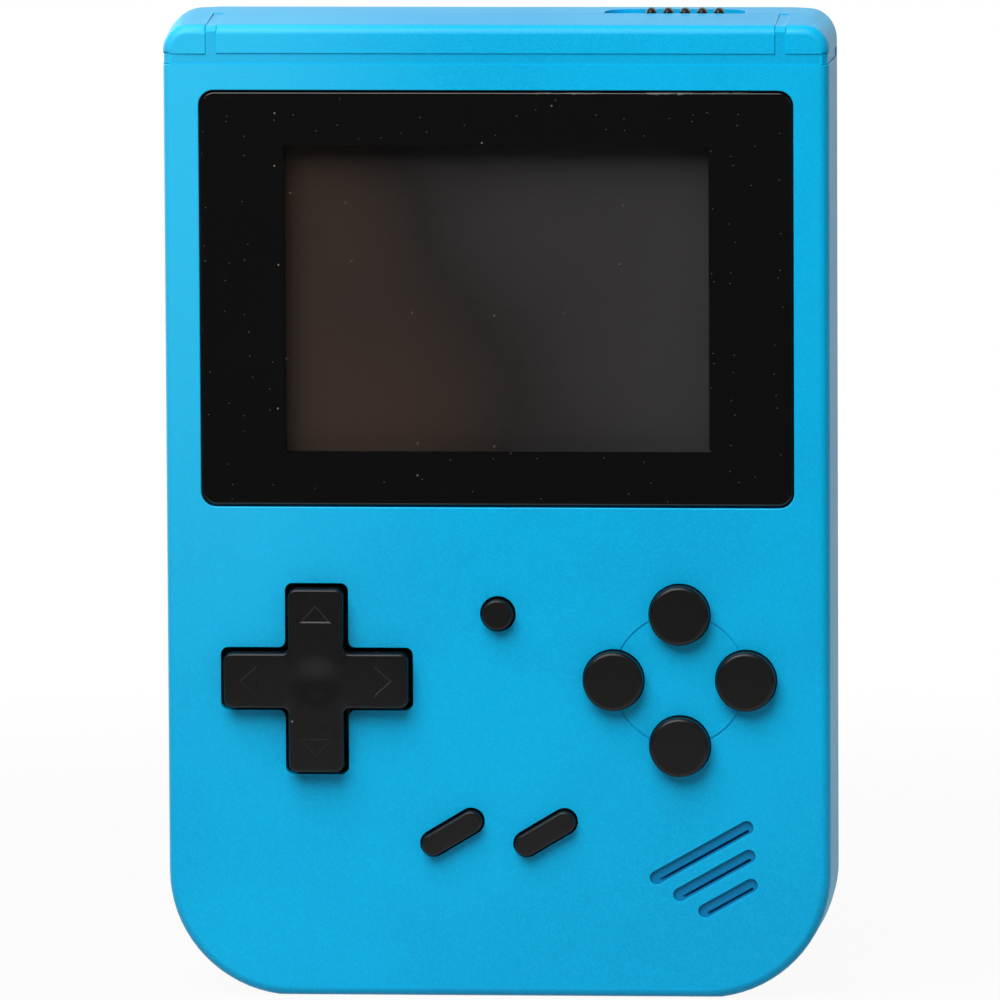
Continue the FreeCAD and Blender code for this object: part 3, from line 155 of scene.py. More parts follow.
# 1 inside a box given in millimetres, 0 outside it
def inBox(graph, place, box, edge=0.06):
    parts = split(graph, place)
    inside = 1
    for axis, (start, end) in zip("XYZ", box):
        part = parts.of(axis)
        pastStart = ease(graph, part, start - edge, start + edge)
        inside = pastStart * ease(graph, part, end + edge, end - edge) * inside
    return inside


# Sparse round specks: a cell keeps its speck where its random number is in the top share
def specks(graph, place, spacing, radius, share, kind="3D", narrow=0.01):
    sockets = {"Vector": place, "Scale": 1 / spacing}
    cells = graph.node("ShaderNodeTexVoronoi", {"voronoi_dimensions": kind}, sockets)
    near = ease(graph, cells.of("Distance"), radius / spacing, radius / spacing / 2)
    chosen = graph.node("ShaderNodeSeparateColor", {}, [cells.of("Color")], output="Red")
    return near * ease(graph, chosen, 1 - share, 1 - share + narrow)


# 1 along outer edges, 0 on flats
def edgeWear(graph, width, samples=4, flat=0.998, edge=0.93):
    rounded = graph.node("ShaderNodeBevel", {"samples": samples}, {"Radius": width * mm})
    straight = graph.node("ShaderNodeNewGeometry", output="Normal")
    settings = {"operation": "DOT_PRODUCT"}
    alike = graph.node("ShaderNodeVectorMath", settings, [rounded, straight], output="Value")
    return ease(graph, alike, flat, edge)


# 1 in narrow places, 0 in the open
def corners(graph, reach, samples=6, inOpen=0.95, inCorner=0.35):
    sockets = {"Distance": reach * mm}
    reached = graph.node("ShaderNodeAmbientOcclusion", {"samples": samples}, sockets, output="AO")
    return ease(graph, reached, inOpen, inCorner)


def newFinish(name):
    made = bpy.data.materials.new(name)
    made.use_nodes = True
    return made, Graph(made.node_tree)


# A screen colour, 0 to 255, in linear light, by the standard formula for screens
def linear(red, green, blue):
    parts = [part / 255 for part in (red, green, blue)]
    return [part / 12.92 if part < 0.04045 else ((part + 0.055) / 1.055) ** 2.4 for part in parts]


def colour(rgb):
    return (*linear(*rgb), 1)


def close(graph, sockets):
    shader = graph.node("ShaderNodeBsdfPrincipled", {}, sockets)
    graph.node("ShaderNodeOutputMaterial", {}, {"Surface": shader})


# A moulded or rolled surface: two close colours, fine texture, edges lighter by wear and painted
# highlight, painted shade and a painted sheen where the look asks, and a little dust
def surface(name, look):
    made, graph = newFinish(name)
    place = inMillimetres(graph, look["stretch"])
    broad = grain(graph, place, look["patch"], detail=3.0)
    fine = grain(graph, place, look["grain"])
    # Edges lighter, partly by wear and partly by painted highlight
    worn = edgeWear(graph, look["edge"]) * look["wear"]
    dust = specks(graph, place, look["dustSpacing"], look["dustSize"], look["dustShare"])
    patches = ease(graph, broad, *look["patchSpan"])
    paint = blend(graph, patches, colour(look["colour"]), colour(look["shade"]))
    # Painted sheen: the colour turns paler towards the upper left, where the light's sheen falls
    if "pale" in look:
        parts = split(graph, place)
        faded = ease(graph, parts, *look["paleAcross"]) * ease(graph, parts.of("Z"), *look["paleUp"])
        paint = blend(graph, faded, paint, colour(look["pale"]))
    mottled = ease(graph, fine, *look["grainSpan"]) * look["mottle"]
    paint = blend(graph, mottled, paint, colour(look["light"]))
    paint = blend(graph, worn, paint, colour(look["light"]))
    # Painted shade: the colour goes darker in narrow places within a box, such as round the keys
    if "grime" in look:
        grimy = corners(graph, look["reach"]) * inBox(graph, place, look["grimeBox"]) * look["grime"]
        paint = blend(graph, grimy, paint, colour(look["deep"]))
    # Painted shade in the listed boxes
    for box, amount in look.get("shaded", []):
        paint = blend(graph, inBox(graph, place, box) * amount, paint, colour(look["deep"]))
    paint = blend(graph, dust * look["dustPaint"], paint, colour(look["dust"]))
    rough = look["rough"] + (broad - noiseMiddle) * look["roughVary"]
    rough = rough + dust * look["dustRough"] - worn * look["wearPolish"]
    height = fine + dust * look["dustHeight"]
    sockets = {"Strength": look["bump"], "Distance": look["relief"] * mm, "Height": height}
    bump = graph.node("ShaderNodeBump", {}, sockets)
    close(graph, {
        "Base Color": paint, "Roughness": rough, "Metallic": look["metal"], "Normal": bump,
        "Specular IOR Level": look["gloss"],
    })
    return made


# What every surface starts from. A span is the values between which a noise fades in.
plainLook = {
    "colour": (30, 30, 31), "shade": (24, 24, 25), "light": (70, 70, 72), "dust": (150, 150, 148),
    "patch": 9.0, "patchSpan": (0.35, 0.65), "grain": 0.3, "grainSpan": (0.4, 0.75), "mottle": 0.15,
    "edge": 0.25, "wear": 0.3, "wearPolish": 0.2, "rough": 0.5, "roughVary": 0.12,
    "metal": 0.0, "gloss": 0.5, "bump": 0.25, "relief": 0.03, "stretch": (1, 1, 1),
    "dustSpacing": 3.0, "dustSize": 0.08, "dustShare": 0.1,
    "dustPaint": 0.8, "dustRough": 0.2, "dustHeight": 0.6,
}


def lookLike(**changes):
    return {**plainLook, **changes}


# Painted shade on the case, towards the painted shade colour: a box by its across, back and up, and how
# much
caseShade = [
    (((16.5, 30.5), (-10.72, -10.0), (8.0, 22.0)), 0.72),  # floors of the sound slots
    (((14.0, 29.0), (-0.4, 5.6), (114.0, 115.0)), 0.3),  # recess of the power switch
    (((-38.0, 38.0), (-10.92, -10.5), (110.4, 111.8)), 0.14),  # floor of the long groove
    (((-34.1, -32.7), (-10.92, -9.0), (111.8, 116.0)), 0.14),  # floors of the short grooves
    (((32.7, 34.1), (-10.92, -9.0), (111.8, 116.0)), 0.14),
    (((-41.0, 41.0), (-10.2, 12.0), (115.0, 117.0)), 0.3),  # top face
]
# The case: painted shade in narrow places and listed boxes, a painted sheen towards the upper left, edges
# lighter by wear and painted highlight
caseBlue = lookLike(
    colour=(0, 172, 224), shade=(0, 165, 217), light=(0, 194, 242), dust=(176, 210, 226),
    patch=24.0, grain=0.21, mottle=0.5, edge=0.4, wear=0.45, rough=0.42, roughVary=0.08, bump=0.45,
    relief=0.04, dustSpacing=7.0, dustSize=0.26, dustShare=0.35, gloss=0.2, deep=(0, 104, 156),
    grime=0.2, reach=3.2, grimeBox=((-36.0, 36.0), (-11.5, -8.0), (4.0, 53.0)),
    pale=(46, 182, 228), paleAcross=(2.0, -38.0), paleUp=(12.0, 96.0), shaded=caseShade,
)
keyBlack = lookLike(
    colour=(11, 10, 11), shade=(8, 8, 9), light=(40, 40, 42), grain=0.2, mottle=0.16, rough=0.34,
    bump=0.3, relief=0.03, edge=0.16, wear=0.4, dustSpacing=3.4, dustSize=0.14, dustShare=0.3, gloss=0.28,
)
finishes = {
    "case_blue": surface("caseBlue", caseBlue),
    "key_black": surface("keyBlack", keyBlack),
    "tape": surface("foamTape", lookLike(colour=(40, 40, 40), rough=0.8, grain=0.15, bump=0.4)),
    "foam": surface("gasketFoam", lookLike(
        colour=(32, 32, 33), rough=0.9, grain=0.25, bump=0.8, relief=0.1,
    )),
    "white_plastic": surface("backlightWhite", lookLike(
        colour=(226, 226, 222), shade=(216, 216, 210), light=(240, 240, 238), rough=0.4, bump=0.1,
    )),
    "flex_film": surface("ribbonFilm", lookLike(
        colour=(186, 122, 44), shade=(160, 98, 32), light=(214, 160, 80), rough=0.32, bump=0.1,
        stretch=(0.4, 1, 3),
    )),
    "board_green": surface("boardGreen", lookLike(
        colour=(28, 104, 62), shade=(20, 84, 50), light=(60, 140, 90), rough=0.38, grain=0.6, bump=0.3,
        mottle=0.35,
    )),
    "chip_black": surface("chipBlack", lookLike(colour=(36, 36, 38), rough=0.6, grain=0.12, bump=0.4)),
    "key_rubber": surface("keyRubber", lookLike(
        colour=(150, 152, 154), shade=(138, 140, 143), light=(176, 178, 180), rough=0.75, grain=0.3,
    )),
    "socket_steel": surface("socketSteel", lookLike(
        colour=(196, 197, 199), shade=(176, 177, 180), light=(222, 222, 224), metal=1.0, rough=0.28,
        stretch=(0.3, 1, 3), bump=0.12, dust=(120, 118, 112),
    )),
    "speaker_steel": surface("speakerSteel", lookLike(
        colour=(92, 93, 96), shade=(78, 79, 82), light=(140, 141, 144), metal=0.6, rough=0.42, bump=0.2,
    )),
    "battery_wrap": surface("batteryWrap", lookLike(
        colour=(94, 96, 102), shade=(80, 82, 88), light=(130, 132, 138), rough=0.24, patch=14.0,
        bump=0.15, grain=1.2, relief=0.06,
    )),
    "contact_brass": surface("contactBrass", lookLike(
        colour=(222, 190, 118), shade=(196, 162, 92), light=(240, 214, 150), metal=1.0, rough=0.25,
        bump=0.1,
    )),
    "screw_steel": surface("screwSteel", lookLike(
        colour=(176, 177, 178), shade=(150, 150, 152), light=(212, 212, 212), metal=1.0, rough=0.3,
        bump=0.15, patch=2.0,
    )),
}


lensLook = {
    "print": (14, 13, 13), "window": (20, 18, 18), "rough": 0.07,
    "windowWide": 49.9, "windowHigh": 36.3, "centre": 82.8, "edge": 0.09, "clear": 0.9,
    "chip": (96, 96, 92), "topEdge": 107.2, "chipSize": 0.8, "chipDepth": 0.45, "chipSink": 0.55,
    "chipEdge": 0.06, "chipFrom": 3.0, "chipFade": 4.0, "chipPatch": 5.0, "chipPatchSpan": (0.46, 0.56),
    "dust": (128, 116, 104), "dustSolid": 0.55, "dustRough": 0.5,
    "fineDust": {"spacing": 2.6, "radius": 0.08, "share": 0.5}, "fineShown": 0.45,
    "bigDust": {"spacing": 8.0, "radius": 0.13, "share": 0.3}, "bigShown": 0.8,
    "smudge": 0.05, "smudgeSize": 14.0, "smudgeSpan": (0.45, 0.7),
    "hairStretch": (0.05, 1, 0.9), "hairScale": 1.6, "hairBend": 0.6, "hairSpan": (0.012, 0.002),
    "hairPatch": 9.0, "hairPatchSpan": (0.55, 0.62), "hairRough": 0.12,
}


# Small grey chips along the top edge
def lensChips(graph, place, across, up, look):
    ragged = grain(graph, place, look["chipSize"], detail=3.0) * look["chipDepth"] * 2
    ragged = ragged - look["chipDepth"] * look["chipSink"]
    chips = ease(graph, ragged - (look["topEdge"] - up), 0.0, look["chipEdge"])
    chips = chips * ease(graph, across, look["chipFrom"], look["chipFrom"] + look["chipFade"])
    patches = grain(graph, place, look["chipPatch"], detail=1.0)
    return chips * ease(graph, patches, *look["chipPatchSpan"])


def lensDust(graph, across, up, look):
    sheet = graph.node("ShaderNodeCombineXYZ", {}, {"X": across, "Y": up})
    fineDust = specks(graph, sheet, **look["fineDust"], kind="2D") * look["fineShown"]
    bigDust = specks(graph, sheet, **look["bigDust"], kind="2D") * look["bigShown"]
    return biggest(graph, fineDust, bigDust)


# Hair-fine scratches that only change the gloss
def lensScratches(graph, place, look):
    hair = graph.node("ShaderNodeTexNoise", {}, {
        "Vector": inMillimetres(graph, look["hairStretch"]), "Scale": look["hairScale"], "Detail": 2.0,
        "Distortion": look["hairBend"],
    })
    scratch = ease(graph, size(graph, hair - noiseMiddle), *look["hairSpan"])
    patches = grain(graph, place, look["hairPatch"], detail=1.0)
    return scratch * ease(graph, patches, *look["hairPatchSpan"])


def lensFinish(look):
    made, graph = newFinish("lensGloss")
    place = inMillimetres(graph)
    across = split(graph, place)
    up = across.of("Z")
    inX = look["windowWide"] / 2 - size(graph, across)
    inZ = look["windowHigh"] / 2 - size(graph, up - look["centre"])
    window = ease(graph, smallest(graph, inX, inZ), -look["edge"], look["edge"])
    dust = lensDust(graph, across, up, look)
    smudge = ease(graph, grain(graph, place, look["smudgeSize"], detail=3.0), *look["smudgeSpan"])
    paint = blend(graph, window, colour(look["print"]), colour(look["window"]))
    paint = blend(graph, lensChips(graph, place, across, up, look), paint, colour(look["chip"]))
    paint = blend(graph, dust, paint, colour(look["dust"]))
    alpha = biggest(graph, 1 - window * look["clear"], dust * look["dustSolid"])
    rough = look["rough"] + smudge * look["smudge"] + dust * look["dustRough"]
    rough = rough + lensScratches(graph, place, look) * look["hairRough"]
    close(graph, {"Base Color": paint, "Roughness": rough, "Alpha": alpha})
    return made


displayLook = {
    "warm": (66, 52, 42), "mid": (43, 39, 38), "midAt": 0.45, "cool": (62, 60, 61),
    "slantAcross": 0.9, "slantUp": 0.35, "slantSpan": (4.0, 52.0), "patch": 26.0, "waver": 34.0,
    "lowAcross": 0.6, "lowSpan": (62.0, 46.0), "lowWarmth": 0.6,
    "weave": 0.18, "weaveColour": (80, 78, 76), "weaveSpan": (0.4, 0.8), "weaveShown": 0.12,
    "weaveRough": 0.1, "rough": 0.35, "gloss": 0.3,
}


# A dark display, warmer at its left and its foot
def displayFinish(look):
    made, graph = newFinish("displayGlass")
    place = inMillimetres(graph)
    across = split(graph, place)
    up = across.of("Z")
    slant = across * look["slantAcross"] + up * look["slantUp"]
    waver = (grain(graph, place, look["patch"], detail=1.5) - noiseMiddle) * look["waver"]
    along = ease(graph, slant + waver, *look["slantSpan"])
    stops = [
        (0.0, linear(*look["warm"])), (look["midAt"], linear(*look["mid"])), (1.0, linear(*look["cool"])),
    ]
    tone = graph.node("ShaderNodeValToRGB", {"stops": stops}, [along])
    low = ease(graph, up + across * look["lowAcross"], *look["lowSpan"])
    tone = blend(graph, low * look["lowWarmth"], tone, colour(look["warm"]))
    weave = grain(graph, place, look["weave"], detail=1.0)
    woven = ease(graph, weave, *look["weaveSpan"]) * look["weaveShown"]
    tone = blend(graph, woven, tone, colour(look["weaveColour"]))
    rough = look["rough"] + (weave - noiseMiddle) * look["weaveRough"]
    close(graph, {"Base Color": tone, "Roughness": rough, "Specular IOR Level": look["gloss"]})
    return made


finishes["lens"] = lensFinish(lensLook)
finishes["display_glass"] = displayFinish(displayLook)
for thing in nodes.values():
    for holder in thing.material_slots:
        holder.material = finishes[holder.material.name.split(".")[0]]
print("finishes made:", len(finishes))


# Mesh tools, all in millimetres and degrees
meshing = {
    "merge": 0.002, "flat": 0.6, "onPlane": 1e-5, "near": 0.01,
    "sharp": 60, "creased": 38, "faceWeight": 80,
}


# A node's solid with its loose triangles joined up again
def nodeMesh(node):
    mesh = bmesh.new()
    mesh.from_mesh(nodes[node].data)
    bmesh.ops.scale(mesh, vec=(1 / mm, 1 / mm, 1 / mm), verts=mesh.verts)
    bmesh.ops.remove_doubles(mesh, verts=mesh.verts, dist=meshing["merge"])
    flat = math.radians(meshing["flat"])
    bmesh.ops.dissolve_limit(mesh, angle_limit=flat, verts=mesh.verts, edges=mesh.edges)
    return mesh


def cutPlane(mesh, place, outwards):
    cut = bmesh.ops.bisect_plane(
        mesh, geom=mesh.verts[:] + mesh.edges[:] + mesh.faces[:], dist=meshing["onPlane"],
        plane_co=place, plane_no=outwards, clear_outer=True,
    )
    rim = [part for part in cut["geom_cut"] if isinstance(part, bmesh.types.BMEdge)]
    bmesh.ops.edgeloop_fill(mesh, edges=rim)


def arc(centre, radius, start, end, steps):
    turns = [math.radians(start + (end - start) * step / steps) for step in range(steps + 1)]
    return [(centre[0] + radius * math.cos(turn), centre[1] + radius * math.sin(turn)) for turn in turns]


def turned(points, degrees):
    along, across = math.cos(math.radians(degrees)), math.sin(math.radians(degrees))
    return [(u * along - v * across, u * across + v * along) for u, v in points]


# Outlines: each gives its points for an inset, the same number every time
def crossOutline(span, arm, tip, crotch, steps=6, leastCorner=0.03):
    def points(inset):
        half = span / 2 - inset
        wide = arm / 2 - inset
        corner = max(tip - inset, leastCorner)
        inner = crotch + inset
        quarter = arc((half - corner, wide - corner), corner, 0, 90, steps)
        quarter += arc((wide + inner, wide + inner), inner, 270, 180, steps)
        quarter += arc((wide - corner, half - corner), corner, 0, 90, steps)
        return [point for turn in range(4) for point in turned(quarter, 90 * turn)]
    return points


def roundOutline(radius, steps=72):
    def points(inset):
        return arc((0, 0), radius - inset, 0, 360, steps)[:-1]
    return points


def pillOutline(length, width, turn, steps=24):
    def points(inset):
        reach = (length - width) / 2
        radius = width / 2 - inset
        right = arc((reach, 0), radius, -90, 90, steps)
        left = arc((-reach, 0), radius, 90, 270, steps)
        return turned(right + left, turn)
    return points


def plateOutline(width, height, radius, steps=10):
    def points(inset):
        x = width / 2 - radius
        z = height / 2 - radius
        corner = radius - inset
        ring = arc((x, z), corner, 0, 90, steps) + arc((-x, z), corner, 90, 180, steps)
        return ring + arc((-x, -z), corner, 180, 270, steps) + arc((x, -z), corner, 270, 360, steps)
    return points


def ringAt(outline, inset, depth, place=(0, 0)):
    return [Vector((place[0] + u, depth, place[1] + v)) for u, v in outline(inset)]


# A rounded rim's insets and depths. Its top faces the front, or the back where facing is 1.
def rimLevels(top, rim, facing=-1, steps=6):
    turns = [math.radians(90 * step / steps) for step in range(steps + 1)]
    return [(rim - rim * math.cos(turn), top + facing * (rim * math.sin(turn) - rim)) for turn in turns]


def joinRings(mesh, back, front):
    for step in range(len(back)):
        after = (step + 1) % len(back)
        mesh.faces.new((back[step], back[after], front[after], front[step]))


def loft(mesh, rings, closeLast=True):
    made = [[mesh.verts.new(point) for point in ring] for ring in rings]
    for back, front in zip(made, made[1:]):
        joinRings(mesh, back, front)
    mesh.faces.new(list(reversed(made[0])))
    if closeLast:
        mesh.faces.new(made[-1])
    return made[-1]


def addCap(mesh, outline, place, foot, top, rim, closeLast=True):
    levels = [(0.0, foot)] + rimLevels(top, rim)
    rings = [ringAt(outline, inset, depth, place) for inset, depth in levels]
    return loft(mesh, rings, closeLast)


def turnOutwards(mesh):
    bmesh.ops.recalc_face_normals(mesh, faces=mesh.faces)


# Smooth shading with sharp edges kept. The flags go in by hand before the normals are weighted.
def smoothed(thing, sharp):
    mesh = bmesh.new()
    mesh.from_mesh(thing.data)
    for face in mesh.faces:
        face.smooth = True
    for edge in mesh.edges:
        edge.smooth = edge.calc_face_angle(0.0) < math.radians(sharp)
    mesh.to_mesh(thing.data)
    mesh.free()
    weighted = thing.modifiers.new("weighted", "WEIGHTED_NORMAL")
    weighted.keep_sharp = True
    weighted.weight = meshing["faceWeight"]
    bakeModifiers(thing)


def bakeModifiers(thing):
    view = bpy.context.evaluated_depsgraph_get()
    done = bpy.data.meshes.new_from_object(thing.evaluated_get(view))
    thing.modifiers.clear()
    thing.data = done


def newObject(name, data):
    thing = bpy.data.objects.new(name, data)
    bpy.context.scene.collection.objects.link(thing)
    return thing


def newPiece(name, mesh, finish):
    bmesh.ops.scale(mesh, vec=(mm, mm, mm), verts=mesh.verts)
    data = bpy.data.meshes.new(name)
    mesh.to_mesh(data)
    mesh.free()
    data.materials.append(finishes[finish])
    return newObject(name, data)


# A finished piece rides where its node rides and stands for it
def stand(thing, node, sharp):
    smoothed(thing, sharp)
    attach(thing, bodyOf[node])
    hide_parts(node)


def standNew(name, mesh, node, slot, sharp=meshing["creased"]):
    stand(newPiece(name, mesh, slot), node, sharp)


# Keys: each keeps its solid's foot, and gets a new cap from the cut to its face
keys = {
    "cut": -9.7, "overlap": 0.15, "gap": 0.28,
    "faceRadius": 3.67, "faceGap": 0.15, "faceRim": 0.5,
    "smallRadius": 2.1, "smallRim": 0.34, "smallSteps": 48,
    "pillLength": 8.4, "pillWidth": 3.2, "pillTurn": 31.0, "pillRim": 0.3,
}
towardsFront = (0, -1, 0)


def nodeBox(node):
    low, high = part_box(node)
    return low / mm, high / mm


def makeKey(node, name, outline, rim):
    low, high = nodeBox(node)
    middle = (low + high) / 2
    mesh = nodeMesh(node)
    cutPlane(mesh, (0, keys["cut"], 0), towardsFront)
    addCap(mesh, outline, (middle.x, middle.z), keys["cut"] + keys["overlap"], low.y, rim)
    turnOutwards(mesh)
    standNew(name, mesh, node, "key_black")


roundKey = roundOutline(keys["faceRadius"] - keys["faceGap"])
for side in ("top", "bottom", "left", "right"):
    makeKey(f"face_button_{side}", f"faceKey{side.title()}", roundKey, keys["faceRim"])
smallKey = roundOutline(keys["smallRadius"] - keys["gap"], keys["smallSteps"])
makeKey("reset_button", "smallRoundKey", smallKey, keys["smallRim"])
pillLength = keys["pillLength"] - 2 * keys["gap"]
pillKey = pillOutline(pillLength, keys["pillWidth"] - 2 * keys["gap"], keys["pillTurn"])
makeKey("sound_button", "leftPillKey", pillKey, keys["pillRim"])
makeKey("start_button", "rightPillKey", pillKey, keys["pillRim"])
print("keys made")


padShape = {
    "place": (-21.4, 37.8), "span": 21.7, "arm": 6.45, "tip": 0.95, "crotch": 0.75, "rim": 0.3,
    "arrowBase": 3.8, "arrowLength": 2.1, "arrowStart": 6.9, "arrowDepth": 0.1, "arrowWall": 0.2,
    "dishRadius": 3.3, "dishDepth": 0.32, "dishRings": 8, "dishSteps": 32, "creased": 24,
}


# A triangle on one arm, drawn in towards its own middle by a share of its size
def arrowCorners(shape, quarter, drawnIn):
    base = shape["arrowBase"] / 2
    start = shape["arrowStart"]
    tip = start + shape["arrowLength"]
    middle = (start + tip) / 2 - shape["arrowLength"] / 6
    corners = [(-base, start), (base, start), (0.0, tip)]
    slim = [(u * (1 - drawnIn), middle + (v - middle) * (1 - drawnIn)) for u, v in corners]
    return turned(slim, 90 * quarter)


# The pad's top as points, the edges between them and how deep each point lies
def padTop(shape, ring):
    x, z = shape["place"]
    points = [Vector((vertex.co.x - x, vertex.co.z - z)) for vertex in ring]
    heights = [0.0] * len(points)
    edges = [(step, (step + 1) % len(points)) for step in range(len(points))]
    for quarter in range(4):
        for drawnIn, depth in ((0.0, 0.0), (shape["arrowWall"], shape["arrowDepth"])):
            first = len(points)
            points += [Vector(corner) for corner in arrowCorners(shape, quarter, drawnIn)]
            heights += [depth] * 3
            edges += [(first, first + 1), (first + 1, first + 2), (first + 2, first)]
    for level in range(shape["dishRings"] + 1):
        radius = shape["dishRadius"] * level / shape["dishRings"]
        depth = shape["dishDepth"] * (1 + math.cos(math.pi * level / shape["dishRings"])) / 2
        circle = arc((0, 0), radius, 0, 360, shape["dishSteps"])[:-1] if level else [(0.0, 0.0)]
        points += [Vector(point) for point in circle]
        heights += [depth] * len(circle)
    return points, edges, heights


def makeDirectionPad(shape):
    top = nodeBox("direction_pad")[0].y
    x, z = shape["place"]
    mesh = nodeMesh("direction_pad")
    cutPlane(mesh, (0, keys["cut"], 0), towardsFront)
    outline = crossOutline(shape["span"], shape["arm"], shape["tip"], shape["crotch"])
    ring = addCap(mesh, outline, shape["place"], keys["cut"] + keys["overlap"], top, shape["rim"], False)
    points, edges, heights = padTop(shape, ring)
    border = [list(range(len(ring)))]
    insideOnly = 1
    filled = geometry.delaunay_2d_cdt(points, edges, border, insideOnly, meshing["onPlane"])
    found, faces, origins = filled[0], filled[2], filled[3]
    made = []
    for point, origin in zip(found, origins):
        if origin and origin[0] < len(ring):
            made.append(ring[origin[0]])
            continue
        depth = heights[origin[0]] if origin else 0.0
        made.append(mesh.verts.new((x + point.x, top + depth, z + point.y)))
    for face in faces:
        mesh.faces.new([made[corner] for corner in face])
    turnOutwards(mesh)
    standNew("directionPad", mesh, "direction_pad", "key_black", shape["creased"])


makeDirectionPad(padShape)
print("direction pad made")


# The screen's opening is a little smaller in the photo than it is cut, and the lens with it
lensPlate = {
    "radius": 1.6, "rim": 0.25, "narrow": 0.3, "lower": 0.15,
    "openingBack": -9.4, "openingWithin": (35.3, 24.85), "openingBeyond": (33.0, 22.6),
}


def makeLens(shape):
    low, high = nodeBox("screen_lens")
    middle = (low + high) / 2
    wide = high.x - low.x - 2 * shape["narrow"]
    tall = high.z - low.z - 2 * shape["lower"]
    mesh = bmesh.new()
    outline = plateOutline(wide, tall, shape["radius"])
    addCap(mesh, outline, (middle.x, middle.z), high.y, low.y, shape["rim"])
    turnOutwards(mesh)
    standNew("screenLens", mesh, "screen_lens", "lens")


makeLens(lensPlate)
print("lens made")


# The two shells: the solids' own faces with every outer edge softened
caseShape = {
    "halfWidth": 39.5, "top": 115.5, "front": -11.0, "seamAt": 0.0, "back": 10.5, "draft": 0.0409,
    "lowCorner": (24.2, 14.75), "lowRadius": 15.3, "highCorner": (36.1, 112.1), "highRadius": 3.4,
    "slope": (0.722, 0.692), "slopeTop": 114.35, "slopeSide": 38.35, "slopeBack": -10.3,
    "rims": [(109.0, 116.0, 0.14), (55.0, 109.0, 0.28), (-1.0, 55.0, 0.14)],  # from, to, width
    "rimSteps": 3, "seam": 0.14, "seamBand": 0.25, "seamSteps": 2, "backRim": 0.18,
    "brow": 0.42, "browBand": 1.6, "browSharp": 20, "browSteps": 5, "cornerBand": 1.3,
    "crotch": 0.8, "crotchReach": 7.0, "crotchLength": 1.0, "crotchBack": -9.0, "crotchSteps": 6,
    "grooveDepth": 0.45, "grooveShown": 0.14, "longGroove": 111.1, "shortGroove": 33.4,
    "grooveReach": 0.66, "grooveLow": 110.4, "sunkWithin": 0.06, "sunkCorner": (36.0, 112.0),
    "foldUp": 114.3, "foldBack": -10.15, "foldAcross": 38.3,
    "leastRaise": 0.03, "wallWithin": 0.08, "raiseTurns": 8,
    "slots": [((23.9, 17.3), 12.2), ((25.4, 14.6), 9.3), ((27.0, 11.9), 6.2)], "slotTurn": 29.4,
    "slotHalf": 0.9, "slotFloor": -10.3, "slotShown": 0.42, "slotEdge": -0.82,
    "slitAbove": -0.6, "slitBack": 0.07, "slitStart": -0.3, "slitOver": 0.1,
    "ringRadius": 7.8, "ringWidth": 0.24, "ringDepth": 0.13, "ringOver": 0.3, "ringSteps": 128,
    "padAcross": 21.4, "padHeight": 37.8,
}


# How far a point lies inside the case's outline at the seam
def insideCase(x, z):
    shape = caseShape
    across = abs(x)
    lowX, lowZ = shape["lowCorner"]
    highX, highZ = shape["highCorner"]
    if across > lowX and z < lowZ:
        return shape["lowRadius"] - math.hypot(across - lowX, z - lowZ)
    if across > highX and z > highZ:
        return shape["highRadius"] - math.hypot(across - highX, z - highZ)
    return min(shape["halfWidth"] - across, shape["top"] - z, z)


def middleOf(edge):
    return (edge.verts[0].co + edge.verts[1].co) / 2


def isSharp(edge, degrees):
    return len(edge.link_faces) == 2 and edge.calc_face_angle() > math.radians(degrees)


def sharpEdges(mesh, test, degrees=meshing["sharp"]):
    return [edge for edge in mesh.edges if isSharp(edge, degrees) and test(edge)]


def soften(mesh, edges, width, steps, slide=True):
    bmesh.ops.bevel(
        mesh, geom=edges, offset=width, offset_type="OFFSET", segments=steps, profile=0.5,
        affect="EDGES", clamp_overlap=True, miter_outer="ARC", loop_slide=slide,
    )


def liesBetween(edge, low, high):
    near = meshing["near"]
    return all(low - near <= vertex.co.y <= high + near for vertex in edge.verts)


# The inner corners of the direction pad's hole
def isCrotch(edge):
    shape = caseShape
    along = abs(edge.verts[0].co.y - edge.verts[1].co.y)
    middle = middleOf(edge)
    near = math.hypot(middle.x + shape["padAcross"], middle.z - shape["padHeight"])
    inFront = middle.y < shape["crotchBack"]
    return along > shape["crotchLength"] and near < shape["crotchReach"] and inFront


def onFrontFace(edge):
    return liesBetween(edge, caseShape["front"], caseShape["front"])


def onBackFace(edge):
    return liesBetween(edge, caseShape["back"], caseShape["back"])


def onSeam(edge):
    middle = middleOf(edge)
    inside = insideCase(middle.x, middle.z)
    return liesBetween(edge, caseShape["seamAt"], caseShape["seamAt"]) and inside < caseShape["seamBand"]


# A fine groove runs round through the four face keys
def ringCutter(shape):
    mesh = bmesh.new()
    place = (shape["padAcross"], shape["padHeight"])
    outer = roundOutline(shape["ringRadius"] + shape["ringWidth"] / 2, shape["ringSteps"])
    inner = roundOutline(shape["ringRadius"] - shape["ringWidth"] / 2, shape["ringSteps"])
    floor = shape["front"] + shape["ringDepth"]
    over = shape["front"] - shape["ringOver"]
    levels = [(outer, floor), (outer, over), (inner, over), (inner, floor)]
    rings = [ringAt(outline, 0.0, depth, place) for outline, depth in levels]
    made = [[mesh.verts.new(point) for point in ring] for ring in rings]
    for first, second in zip(made, made[1:] + made[:1]):
        joinRings(mesh, first, second)
    turnOutwards(mesh)
    return newPiece("ringCutter", mesh, "case_blue")


def cutAway(thing, cutter):
    cut = thing.modifiers.new("cut", "BOOLEAN")
    cut.operation = "DIFFERENCE"
    cut.solver = "EXACT"
    cut.object = cutter
    bakeModifiers(thing)
    bpy.data.objects.remove(cutter)


